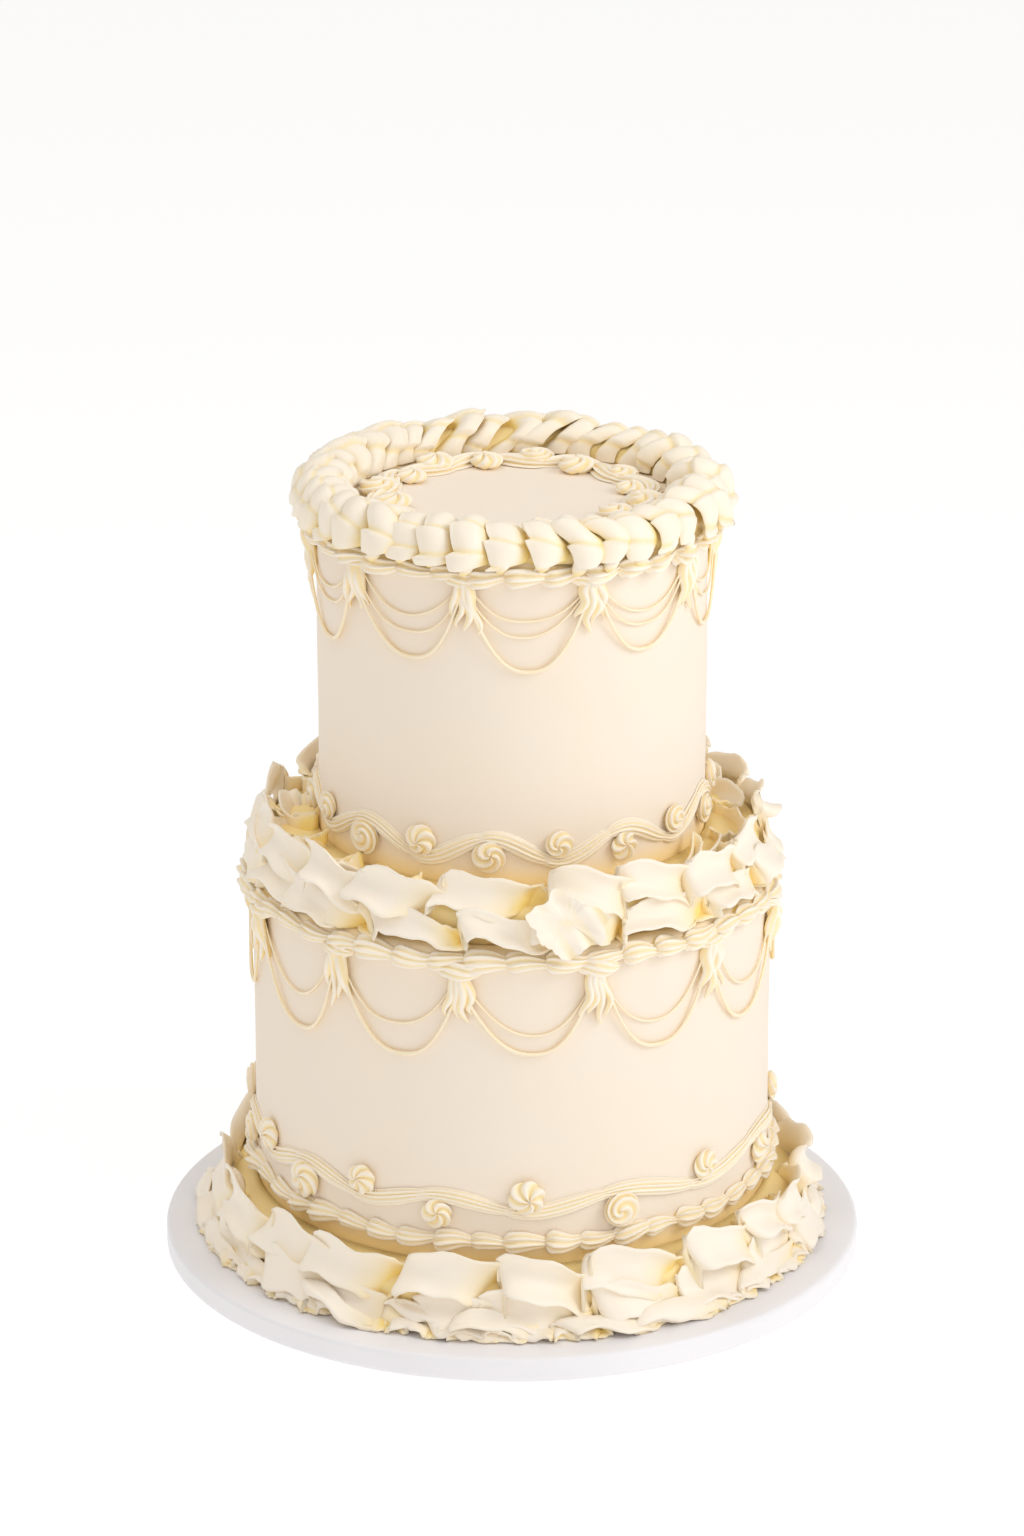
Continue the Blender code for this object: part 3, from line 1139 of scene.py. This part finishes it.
@dataclass
class CrownFolds:
    """The ring of overlapping folds over the top edge of the upper tier."""

    sizes: CakeSizes
    folds: int = 38
    start: float = 0.3
    seed: int = 71
    half_thickness: float = 0.00066
    pulses: float = 3.6
    middle_radius: float = 0.083
    foot_radius: float = 0.0905
    closed: Sequence[tuple[float, float]] = (
        (-0.0072, -0.0006), (-0.0078, 0.0018), (-0.0070, 0.0044), (-0.0044, 0.0066), (-0.0008, 0.0066),
        (0.0026, 0.0046), (0.0056, 0.0018), (0.0086, -0.0010), (0.0114, -0.0034),
    )
    hook: Sequence[tuple[float, float]] = (
        (-0.0084, 0.0074), (-0.0076, 0.0066), (-0.0060, 0.0060), (-0.0036, 0.0066), (-0.0006, 0.0062),
        (0.0026, 0.0044), (0.0056, 0.0018), (0.0086, -0.0010), (0.0114, -0.0034),
    )

    def arch(self) -> np.ndarray:
        """Gives the line that the folds ride on.

        Returns:
            Its points in radius and height, from outside to inside.
        """
        top = self.sizes.upper_top
        knots = np.array(
            (
                (0.0858, top - 0.0050), (0.0866, top - 0.0014), (0.0868, top + 0.0026),
                (0.0850, top + 0.0062), (0.0816, top + 0.0084), (0.0776, top + 0.0086),
                (0.0744, top + 0.0066), (0.0726, top + 0.0032), (0.0720, top - 0.0004),
                (0.0720, top - 0.0030),
            )
        )
        return through(knots, 60)

    def build(self, finishes: Finishes) -> list[bpy.types.Object]:
        """Lays the folds one over the next, with a bed under them and a curl at the foot of each.

        Args:
            finishes: The materials.

        Returns:
            The one piece.
        """
        top = self.sizes.upper_top
        draw = np.random.default_rng(self.seed)
        piece = Piece("crown_folds")
        for fold in range(self.folds):
            angle = self.start + 360 / self.folds * play(draw, fold, 0.11)
            self.fold(piece, angle, draw)
            self.foot(piece, angle, draw)
        # The bed under the folds carries the bed's even painted shade.
        Bed(
            (
                (0.0700, top + 0.0005), (0.0722, top + 0.0056), (0.0760, top + 0.0090),
                (0.0810, top + 0.0097), (0.0850, top + 0.0070), (0.0868, top + 0.0024),
                (0.0866, top - 0.0020), (0.0838, top - 0.0025), (0.0834, top + 0.0005),
            )
        ).lay(piece)
        return [piece.make(finishes, Slot.PIPED, ("crown_ruffle",))]

    def fold(self, piece: Piece, angle: float, draw: np.random.Generator) -> None:
        """Lays one fold: a thin sheet with a free rounded edge on its left, swollen by the hand's pulse.

        Args:
            piece: The ring.
            angle: The place of the fold, in degrees.
            draw: The source of its small differences.
        """
        sheet = Sheet.cut(60, 36, 0.10)
        away = angle % 360
        shut = float(eased(6.0, 26.0, away) * (1 - eased(150.0, 185.0, away)))
        shut = 0.12 + 0.72 * shut + play(draw, 0, 0.12)
        hook = through(np.array(self.hook) * (1 - shut) + np.array(self.closed) * shut, 48)
        bearing = np.gradient(hook, axis=0)
        bearing /= np.linalg.norm(bearing, axis=1, keepdims=True)
        share = np.linspace(0, 1, 48)
        across, along = sheet.across, sheet.along

        def on_hook(values: np.ndarray) -> np.ndarray:
            """Reads values of the hook at each point's place across it."""
            return np.interp(across, share, values)

        pulses = self.pulses * play(draw, 1, 0.16)
        slant = play(draw, 0.45, 0.35)
        beat = (pulses * along + slant * across + play(draw, 0, 0.5)) % 1
        pulse = beat**0.8 * (1 - eased(0.88, 1.0, beat))
        puff = 1 + 0.34 * (pulse - 0.55) * (1 - 0.5 * across)
        deep = play(draw, 1, 0.26)
        wide = play(draw, 1, 0.16)
        flare = (1 - eased(0.0, 0.20, along)) * (0.0012 + 0.0012 * np.sin(6 * across + draw.uniform(0, 6)))
        side = on_hook(hook[:, 0]) * wide - 0.0030 * pulse * (1 - eased(0.0, 0.45, across))
        rise = on_hook(hook[:, 1]) * puff * deep * (1 - 0.35 * eased(0.75, 1.0, along)) + flare
        side = side - sheet.side * self.half_thickness * on_hook(bearing[:, 1])
        rise = rise + sheet.side * self.half_thickness * on_hook(bearing[:, 0])
        pitch = 2 * math.pi * self.middle_radius / self.folds
        swirl = play(draw, 0.32, 0.17)
        back = float(eased(110.0, 150.0, away) * (1 - eased(230.0, 290.0, away)))
        sway = 0.08 + 0.22 * draw.uniform(0, 1) ** 2 + 0.26 * back
        swing = sway * np.sin(8 * along + play(draw, 0, 0.7))
        side = side + pitch * (swirl * (along - 0.5) + swing)
        arch = self.arch()
        run = np.gradient(arch, axis=0)
        run /= np.linalg.norm(run, axis=1, keepdims=True)
        ends = play(draw, 0.035, 0.035)
        place = np.clip(ends + (1 - 1.6 * ends) * along + 0.07 * (across - 0.6) * (1 - along), 0, 1)
        steps = np.linspace(0, 1, 60)
        radius = np.interp(place, steps, arch[:, 0]) + rise * np.interp(place, steps, run[:, 1])
        height = np.interp(place, steps, arch[:, 1]) - rise * np.interp(place, steps, run[:, 0])
        # Painted shade: darker towards the inner side, in the grooves between pulses, and full on each
        # sheet's underside.
        groove = (1 - eased(0.0, 0.16, beat)) + eased(0.94, 1.0, beat)
        painted_shade = 0.05 + 0.92 * eased(0.50, 0.86, across) + 0.52 * groove + 1.0 * (sheet.side < -0.1)
        points = turned(angle + np.degrees(side / self.middle_radius), radius, height)
        piece.add(sheet.form, points, np.clip(painted_shade, 0, 1))

    def foot(self, piece: Piece, angle: float, draw: np.random.Generator) -> None:
        """Adds the rounded curl of icing that shows at the foot of a fold.

        Args:
            piece: The ring.
            angle: The place of the fold, in degrees.
            draw: The source of its small differences.
        """
        form = BENCH.spindle(12, 16)
        along = form.step
        size = play(draw, 1, 0.18)
        side = size * 0.0028 * np.sin(along) * np.cos(form.around) - 0.0030 + 0.0014 * np.cos(along)
        rise = size * 0.0024 * np.sin(along) * np.sin(form.around)
        height = self.sizes.upper_top - 0.0010 + size * 0.0038 * np.cos(along) + play(draw, 0, 0.0014)
        points = turned(angle + np.degrees(side / self.middle_radius), self.foot_radius + rise, height)
        # Painted shade on the lower end of the curl.
        piece.add(form, points, np.clip(-1.2 * np.cos(along) - 0.2, 0, 1))


@dataclass
class ShellBorder:
    """A bead of star-piped shells round a wall, each with a fat ribbed head over the last one's tail."""

    name: str
    replaced: Sequence[str]
    seat: Seat
    shells: int
    half_height: float
    depth: float
    seed: int

    def build(self, finishes: Finishes) -> list[bpy.types.Object]:
        """Pipes the shells one by one.

        Args:
            finishes: The materials.

        Returns:
            The one piece.
        """
        draw = np.random.default_rng(self.seed)
        piece = Piece(self.name)
        pitch = 2 * math.pi * self.seat.radius / self.shells
        for shell in range(self.shells):
            size = play(draw, 1, 0.20)
            length = pitch * 1.42 * play(draw, 1, 0.14)
            tip = play(draw, 0, 0.0010)
            angle = shell * 360 / self.shells + draw.uniform(-0.6, 0.6)
            self.shell(piece, angle, length, size, tip, draw)
        return [piece.make(finishes, Slot.PIPED, self.replaced)]

    def shell(
        self, piece: Piece, angle: float, length: float, size: float, tip: float, draw: np.random.Generator
    ) -> None:
        """Pipes one shell.

        Args:
            piece: The border.
            angle: Where its head starts.
            length: From head to tail.
            size: Its size against an even shell.
            tip: How far its tail strays up.
            draw: The source of its small differences.
        """
        twist = play(draw, 0, 0.5)

        def body(along: np.ndarray) -> np.ndarray:
            """Gives its thickness against the head's, from head to tail."""
            return 0.50 + 0.56 * (1 - eased(0.14, 0.80, along))

        def path(along: np.ndarray) -> tuple[np.ndarray, np.ndarray]:
            """Runs round the wall, and strays a little up or down."""
            return length * (along - 0.12), tip * along**2 + 0.0008 * np.sin(along * 5 + angle)

        piece.rope(
            self.seat,
            angle,
            Rope(
                path=path,
                half_width=lambda along: self.half_height * size * body(along),
                half_height=lambda along: self.depth * 0.80 * size * body(along) ** 0.8,
                rise=lambda along: self.depth * 0.18 * size * body(along),
                ribs=Ribs(8, 0.27, twist),
                rings=20,
                sides=52,
                fins=0.34,
            ),
        )


@dataclass
class Scroll:
    """A wave of ribbed strokes with a rosette in each of its bends."""

    name: str
    replaced: Sequence[str]
    seat: Seat
    waves: int
    start: float
    drift: float
    swing: float
    offsets: tuple[float, float]
    half_width: float
    thickness: float
    rosette_radius: float
    seed: int

    def angle(self, bend: np.ndarray | float) -> np.ndarray | float:
        """The angle of a bend, with the drift of spacing by eye."""
        even = bend * 180 / self.waves
        return self.start + even + self.drift * (1 - np.cos(np.radians(even)))

    def build(self, finishes: Finishes) -> list[bpy.types.Object]:
        """Pipes the strokes and then the rosettes.

        Args:
            finishes: The materials.

        Returns:
            The one piece.
        """
        draw = np.random.default_rng(self.seed)
        piece = Piece(self.name)
        for bend in range(2 * self.waves):
            self.stroke(piece, bend, draw)
        for bend in range(2 * self.waves):
            self.rosette(piece, bend, draw)
        return [piece.make(finishes, Slot.PIPED, self.replaced)]

    def stroke(self, piece: Piece, bend: int, draw: np.random.Generator) -> None:
        """Pipes one stroke from a little before a bend to a little past the next.

        Args:
            piece: The scroll.
            bend: Where the stroke starts.
            draw: The source of its small differences.
        """
        first = play(draw, bend - 0.28, 0.06)
        reach = 1.50
        origin = self.angle(bend)
        size = play(draw, 1, 0.10)
        twist = play(draw, 0, 0.25)

        def path(along: np.ndarray) -> tuple[np.ndarray, np.ndarray]:
            """Follows the wave, and slips a little to one side on the way."""
            at_bend = first + reach * along
            turn = np.radians(self.angle(at_bend) - origin) * self.seat.radius
            slip = 0.0012 * (0.3 - along) * (1 - 2 * (bend % 2))
            return turn, -self.swing * np.cos(math.pi * at_bend) + slip

        def body(along: np.ndarray) -> np.ndarray:
            """Gives its thickness against its thickest, from its start to its tail."""
            return 0.42 + 0.58 * (1 - eased(0.45, 1.0, along)) * (0.7 + 0.3 * eased(0.0, 0.12, along))

        piece.rope(
            self.seat,
            origin,
            Rope(
                path=path,
                half_width=lambda along: self.half_width * size * body(along),
                half_height=lambda along: self.thickness * 0.86 * body(along),
                rise=lambda along: self.thickness * 0.10 * body(along),
                ribs=Ribs(10, 0.42, twist),
                rings=40,
                sides=60,
            ),
        )

    def rosette(self, piece: Piece, bend: int, draw: np.random.Generator) -> None:
        """Pipes one rosette: a dome of wound ridges that leans a little at its top.

        Args:
            piece: The scroll.
            bend: The bend that it fills.
            draw: The source of its small differences.
        """
        form = BENCH.spindle(46, 56)
        size = self.rosette_radius * play(draw, 1, 0.16)
        step = form.step
        share = step / math.pi
        out = np.sin(step) ** 0.85
        arms = int(draw.integers(2, 7))
        wound = arms * form.around + draw.uniform(0, 6) + 4 * math.pi * (3.3 - 0.42 * arms) * share
        ridge = (0.5 + 0.5 * np.cos(wound)) ** 0.7
        reach = size * out * (0.86 + 0.20 * ridge)
        tall = size * 0.74
        rise = tall * (0.42 + 0.52 * np.cos(step)) + 0.34 * tall * (ridge - 0.5) * (1 - 0.5 * share)
        lean = 0.20 * size * np.clip(1 - 3 * share, 0, 1)
        tip = draw.uniform(0, 2 * math.pi)
        aside = reach * np.cos(form.around) + lean * math.cos(tip)
        across = self.offsets[bend % 2] + reach * np.sin(form.around) + lean * math.sin(tip)
        points = self.seat.place(float(self.angle(bend)), aside, across, rise)
        # Painted shade in the grooves between the ridges and towards the base against the seat.
        painted_shade = 0.75 * (1 - ridge) + eased(0.55, 0.9, share) * 0.4 - 0.05
        piece.add(form, points, np.clip(painted_shade, 0, 1))


@dataclass
class DropStrings:
    """Strings that hang in swags round a tier, with a tassel and its knot wherever swags meet."""

    tier: str
    seat: Seat
    swags: int
    start: float
    drift: float
    drops: Sequence[float]
    thick: Sequence[float]
    seed: int
    fingers: int = 4
    finger_length: float = 0.0210
    finger_half: float = 0.0023
    finger_spread: float = 0.0125
    finger_sway: float = 0.0019
    finger_top: float = 0.0035
    knot_length: float = 0.0185
    knot_half: float = 0.0044
    knot_depth: float = 0.0046
    knot_rise: float = 0.0026
    knot_height: float = 0.0036

    def angle(self, swag: float) -> float:
        """The angle of the point where a swag starts."""
        even = swag * 360 / self.swags
        return self.start + even + self.drift * math.sin(math.radians(even))

    def build(self, finishes: Finishes) -> list[bpy.types.Object]:
        """Pipes the strings and then the tassels.

        Args:
            finishes: The materials.

        Returns:
            The two pieces.
        """
        draw = np.random.default_rng(self.seed)
        strings = Piece(f"{self.tier}_drop_strings")
        for swag in range(self.swags):
            for layer, drop in enumerate(self.drops):
                self.string(strings, swag, drop, self.thick[layer], layer, draw)
        names = [f"{self.tier}_string_{layer + 1}" for layer in range(len(self.drops))]
        hung = strings.make(finishes, Slot.PIPED, names)
        tassels = Piece(f"{self.tier}_tassels")
        for swag in range(self.swags):
            self.tassel(tassels, swag, draw)
        names = [f"{self.tier}_tassel_{swag + 1:02d}" for swag in range(self.swags)]
        return [hung, tassels.make(finishes, Slot.PIPED, names)]

    def string(
        self, piece: Piece, swag: int, drop: float, half: float, layer: int, draw: np.random.Generator
    ) -> None:
        """Hangs one string.

        Args:
            piece: The strings.
            swag: Which swag it belongs to.
            drop: How far it hangs at its lowest.
            half: Half its thickness.
            layer: Its number from the shortest outwards.
            draw: The source of its small differences.
        """
        here, there = self.angle(swag), self.angle(swag + 1)
        span = math.radians(there - here) * self.seat.radius
        drop = drop * play(draw, 1, 0.07)
        skew = play(draw, 0, 0.05)
        power = play(draw, 2.3, 0.35)
        inset = play(draw, 0, 0.0012) - 0.0004 * layer
        begin = play(draw, 0, 0.0014)
        end = play(draw, 0, 0.0014)

        def path(along: np.ndarray) -> tuple[np.ndarray, np.ndarray]:
            """Sags between the two points, lowest a little off the middle."""
            share = along + skew * np.sin(math.pi * along)
            hang = 1 - np.abs(2 * share - 1) ** power
            across = 0.0030 - (drop + 0.0030) * hang
            return inset + begin * (1 - along) + (span - 2 * inset + end) * along, across

        piece.rope(
            self.seat,
            here,
            Rope(
                path=path,
                half_width=lambda along: half * (1 + 0.10 * np.sin(along * 17 + swag)),
                half_height=lambda along: half * (1 + 0.10 * np.sin(along * 13 + swag)),
                rise=lambda along: half + 0.0003 + (0.0012 + 0.0011 * layer) * np.abs(2 * along - 1) ** 2,
                ribs=Ribs(6, 0.06, 2.0),
                rings=56,
                sides=12,
                shade=0.04,
            ),
        )

    def tassel(self, piece: Piece, swag: int, draw: np.random.Generator) -> None:
        """Pipes one tassel: its knot, and wavy drops that spread like fingers.

        Args:
            piece: The tassels.
            swag: The swag that starts under it.
            draw: The source of its small differences.
        """
        self.knot(piece, swag, draw)
        for finger in range(self.fingers):
            self.finger(piece, swag, (finger - (self.fingers - 1) / 2) / self.fingers, draw)

    def finger(self, piece: Piece, swag: int, spread: float, draw: np.random.Generator) -> None:
        """Pipes one wavy drop of a tassel.

        Args:
            piece: The tassels.
            swag: The swag that starts under it.
            spread: Its place in the tassel, about -0.4 to 0.4.
            draw: The source of its small differences.
        """
        length = self.finger_length * (1 - 0.55 * abs(spread) + play(draw, 0, 0.16))
        sway = self.finger_sway * draw.uniform(0.5, 1.2)
        phase = draw.uniform(0, 2 * math.pi)
        half = self.finger_half * play(draw, 1, 0.2)

        def path(along: np.ndarray) -> tuple[np.ndarray, np.ndarray]:
            """Falls from the knot, fanned out and swaying."""
            fan = spread * self.finger_spread * (0.35 + 0.9 * along)
            fall = (length + self.finger_top) * along
            return fan + sway * np.sin(9 * along + phase) * along, self.finger_top - fall

        piece.rope(
            self.seat,
            self.angle(swag),
            Rope(
                path=path,
                half_width=lambda along: half * (1.10 - 0.70 * along**2),
                half_height=lambda along: half * (1.30 - 0.85 * along**2),
                rise=lambda along: 0.0036 + 0.0010 * np.sin(7 * along + phase) - 0.0014 * along,
                ribs=Ribs(3, 0.16, 1.4),
                rings=26,
                sides=20,
                shade=0.05,
            ),
        )

    def knot(self, piece: Piece, swag: int, draw: np.random.Generator) -> None:
        """Pipes the ribbed swirl that covers the top of a tassel.

        Args:
            piece: The tassels.
            swag: The swag that starts under it.
            draw: The source of its small differences.
        """
        lean = play(draw, 0, 0.0030)
        size = play(draw, 1, 0.12)

        def path(along: np.ndarray) -> tuple[np.ndarray, np.ndarray]:
            """Lies across the tassel's top, leaning a little."""
            return self.knot_length * size * (along - 0.5), self.knot_height + lean * (along - 0.5)

        def body(along: np.ndarray) -> np.ndarray:
            """Gives its thickness, full in the middle."""
            return size * (0.50 + 0.50 * np.sin(math.pi * np.clip(along, 0, 1)))

        piece.rope(
            self.seat,
            self.angle(swag) + play(draw, 0, 0.5),
            Rope(
                path=path,
                half_width=lambda along: self.knot_half * body(along),
                half_height=lambda along: self.knot_depth * body(along),
                rise=lambda along: self.knot_rise * body(along),
                ribs=Ribs(7, 0.34, 1.3 * draw.choice((-1, 1))),
                rings=22,
                sides=48,
                fins=0.35,
            ),
        )


@dataclass
class PipedLeaf:
    """The leaf on the ledge ruffles: a thin cupped sheet with broad lobes, combed with fine ridges."""

    angle: float = 11.0
    middle: tuple[float, float] = (0.1192, 0.1925)
    half_thickness: float = 0.0007
    ridge: float = 0.0008
    cup: float = 0.0038
    lobes: Sequence[tuple[float, float]] = (
        (-21, 0.0176), (8, 0.0112), (46, 0.0102), (86, 0.0180), (100, 0.0158), (114, 0.0170),
        (146, 0.0124), (181, 0.0160), (214, 0.0124), (248, 0.0142), (262, 0.0134), (283, 0.0190),
        (318, 0.0124),
    )

    def build(self, finishes: Finishes) -> list[bpy.types.Object]:
        """Models the leaf from a sphere pressed flat, with its rim drawn out into the lobes.

        Args:
            finishes: The materials.

        Returns:
            The one piece.
        """
        piece = Piece("piped_leaf")
        form = BENCH.spindle(40, 160)
        step = form.step
        reach = np.sin(step)
        face = np.sign(np.cos(step)) * np.sqrt(np.abs(np.cos(step)))
        knots = np.array(self.lobes)
        compass = np.degrees(form.around) % 360
        fine = np.arange(0.0, 360.0, 2.0)
        drawn = np.interp(fine, knots[:, 0] % 360, knots[:, 1], period=360)
        soft = sum(np.roll(drawn, shift) for shift in range(-2, 3)) / 5
        share = np.interp(compass, fine, soft, period=360)
        rim = share * (1 + 0.018 * np.sin(np.radians(compass) * 23)) * reach
        aside = rim * np.sin(form.around)
        rise = rim * np.cos(form.around)
        combed = 0.30 + 0.70 * eased(-0.006, 0.007, aside - 0.4 * rise)
        ridges = np.cos(aside * 560 + rise * 330 + 0.6) * self.ridge * reach * combed
        cup = self.cup * reach**2 - 0.0004 - 0.0020 * reach**2 * (np.cos(form.around) < -0.6)
        off = ridges + cup + self.half_thickness * face * (1 - 0.4 * reach)
        radius = self.middle[0] - 0.16 * rise + off + 0.0010 * np.sin(rise * 500)
        turn = self.angle + np.degrees(aside / radius)
        # Painted shade at the leaf's middle and in the grooves between its ridges.
        painted_shade = np.clip(0.30 - 0.9 * reach, 0, 1) + np.clip(-ridges / self.ridge, 0, 1) * 0.50
        piece.add(form, turned(turn, radius, self.middle[1] + rise), np.clip(painted_shade, 0, 1))
        return [piece.make(finishes, Slot.PIPED, ("leaf",))]


@dataclass
class Studio:
    """The pale floor, the soft lights and the camera at the photograph's viewing angle."""

    camera_tilt: float = 19.576
    camera_distance: float = 2.3832
    target_height: float = 0.21835
    lens: float = 129.96
    sky: float = 0.57
    lamp_colour: tuple[float, float, float] = (0.94, 0.97, 1.0)
    sky_colour: tuple[float, float, float] = (1.0, 0.965, 0.915)

    def build(self) -> None:
        """Builds the floor, the lights, the sky and the camera."""
        self.build_floor()
        self.build_light("key", 66, 36, 1.6, 8.9, 0.8)
        self.build_light("fill", -100, 68, 1.6, 6.5, 1.4)
        self.build_light("front", 16, 24, 1.8, 3.3, 1.2)
        world = bpy.data.worlds.new("studio")
        world.use_nodes = True
        world.node_tree.nodes["Background"].inputs["Color"].default_value = (*self.sky_colour, 1)
        world.node_tree.nodes["Background"].inputs["Strength"].default_value = self.sky
        bpy.context.scene.world = world
        bpy.context.scene.view_settings.view_transform = "Standard"
        self.build_camera()

    def build_floor(self) -> None:
        """Lays a wide pale floor under the board."""
        bpy.ops.mesh.primitive_plane_add(size=14, location=(0, 0, -0.0005))
        floor = bpy.context.object
        floor.name = "studio_floor"
        paint = bpy.data.materials.new("studio_paint")
        paint.use_nodes = True
        shader = paint.node_tree.nodes["Principled BSDF"]
        shader.inputs["Base Color"].default_value = (0.34, 0.34, 0.34, 1)
        shader.inputs["Roughness"].default_value = 0.9
        shader.inputs["Emission Color"].default_value = (1, 1, 1, 1)
        shader.inputs["Emission Strength"].default_value = 0.74
        floor.data.materials.append(paint)

    def build_light(
        self, name: str, around: float, up: float, away: float, power: float, size: float
    ) -> None:
        """Places a square soft light that faces the cake.

        Args:
            name: Its name.
            around: Degrees from the front towards +X.
            up: Degrees above the cake's middle.
            away: Distance from the cake's middle.
            power: Watts.
            size: Length of its side.
        """
        data = bpy.data.lights.new(name, "AREA")
        data.energy = power
        data.size = size
        data.color = self.lamp_colour
        lamp = bpy.data.objects.new(name, data)
        level = away * math.cos(math.radians(up))
        turn = math.radians(around)
        rise = away * math.sin(math.radians(up))
        offset = Vector((level * math.sin(turn), -level * math.cos(turn), rise))
        lamp.location = Vector((0, 0, self.target_height)) + offset
        lamp.rotation_euler = (-offset).to_track_quat("-Z", "Y").to_euler()
        bpy.context.scene.collection.objects.link(lamp)

    def build_camera(self) -> None:
        """Sets the camera on the photograph's line of sight."""
        data = bpy.data.cameras.new("photograph")
        data.lens = self.lens
        data.sensor_width = 36.0
        camera = bpy.data.objects.new("photograph", data)
        tilt = math.radians(self.camera_tilt)
        back = self.camera_distance * math.cos(tilt)
        camera.location = (0, -back, self.target_height + self.camera_distance * math.sin(tilt))
        camera.rotation_euler = (math.pi / 2 - tilt, 0, 0)
        bpy.context.scene.collection.objects.link(camera)
        bpy.context.scene.camera = camera


def slabs(sizes: CakeSizes) -> list[RoundSlab]:
    """Gives the board and the two iced tiers.

    Args:
        sizes: The driving sizes.

    Returns:
        The slabs, from the bottom up.
    """
    return [
        RoundSlab(
            name="drum_board",
            replaced="board",
            slot=Slot.BOARD,
            radius=sizes.board_radius,
            bottom=0.0,
            top=sizes.board_top,
            rim_round=0.0022,
        ),
        RoundSlab(
            name="lower_cake",
            replaced="lower_tier",
            slot=Slot.SMOOTH,
            radius=sizes.lower_radius,
            bottom=sizes.board_top,
            top=sizes.lower_top,
            rim_round=0.0040,
            swell=0.00022,
            painted_shade_height=0.0435,
            seed=3,
        ),
        RoundSlab(
            name="upper_cake",
            replaced="upper_tier",
            slot=Slot.SMOOTH,
            radius=sizes.upper_radius,
            bottom=sizes.lower_top,
            top=sizes.upper_top,
            rim_round=0.0040,
            swell=0.00022,
            painted_shade_height=0.202,
            seed=8,
        ),
    ]


def borders(sizes: CakeSizes) -> list[ShellBorder | Scroll]:
    """Gives the three shell borders and the three scrolls.

    Args:
        sizes: The driving sizes.

    Returns:
        The borders, then the scrolls.
    """
    upper, lower = sizes.upper_radius, sizes.lower_radius
    upper_rim = Seat(Lie.WALL, upper, 0.3318)
    lower_rim = Seat(Lie.WALL, lower, 0.1728)
    foot = Seat(Lie.WALL, lower, 0.0462)
    return [
        ShellBorder("upper_rim_beads", ("upper_rim_shells",), upper_rim, 34, 0.0054, 0.0092, 5),
        ShellBorder("lower_rim_beads", ("lower_rim_shells",), lower_rim, 44, 0.0049, 0.0068, 6),
        ShellBorder("base_beads", ("base_shells",), foot, 46, 0.0048, 0.0064, 7),
        Scroll(
            name="lower_wave",
            replaced=("lower_scroll",),
            seat=Seat(Lie.WALL, lower, 0.0630),
            waves=9,
            start=3.1,
            drift=13.0,
            swing=0.0034,
            offsets=(0.0046, -0.0046),
            half_width=0.0042,
            thickness=0.0032,
            rosette_radius=0.0070,
            seed=81,
        ),
        Scroll(
            name="upper_wave",
            replaced=("upper_scroll",),
            seat=Seat(Lie.WALL, upper, 0.2115),
            waves=9,
            start=-26.5,
            drift=0.0,
            swing=0.0056,
            offsets=(0.0024, -0.0024),
            half_width=0.0040,
            thickness=0.0032,
            rosette_radius=0.0066,
            seed=82,
        ),
        Scroll(
            name="top_wave",
            replaced=("top_scroll",),
            seat=Seat(Lie.TOP, 0.0562, sizes.upper_top),
            waves=8,
            start=147.3,
            drift=0.0,
            swing=0.0040,
            offsets=(0.0050, -0.0012),
            half_width=0.0064,
            thickness=0.0046,
            rosette_radius=0.0074,
            seed=83,
        ),
    ]


def strings(sizes: CakeSizes) -> list[DropStrings]:
    """Gives the strings and tassels of both tiers.

    Args:
        sizes: The driving sizes.

    Returns:
        One set for each tier, the upper first.
    """
    return [
        DropStrings(
            tier="upper",
            seat=Seat(Lie.WALL, sizes.upper_radius, 0.3262),
            swags=10,
            start=-13.3,
            drift=0.0,
            drops=(0.0150, 0.0222, 0.0345),
            thick=(0.00050, 0.00052, 0.00082),
            seed=91,
        ),
        DropStrings(
            tier="lower",
            seat=Seat(Lie.WALL, sizes.lower_radius, 0.1660),
            swags=12,
            start=-10.9,
            drift=-2.4,
            drops=(0.0255, 0.0365),
            thick=(0.00054, 0.00082),
            seed=92,
        ),
    ]


def main() -> None:
    """Builds the dressed cake piece by piece."""
    logging.basicConfig(level=logging.INFO, format="%(message)s")
    sizes = CakeSizes.from_frame()
    finishes = Finishes.build()
    ruffles = [BaseRuffles(sizes), LedgeRuffles(sizes), CrownFolds(sizes)]
    for part in [*slabs(sizes), *ruffles, *borders(sizes), *strings(sizes), PipedLeaf()]:
        for obj in part.build(finishes):
            LOG.info("%s built", obj.name)
    Studio().build()


if __name__ == "__main__":
    main()
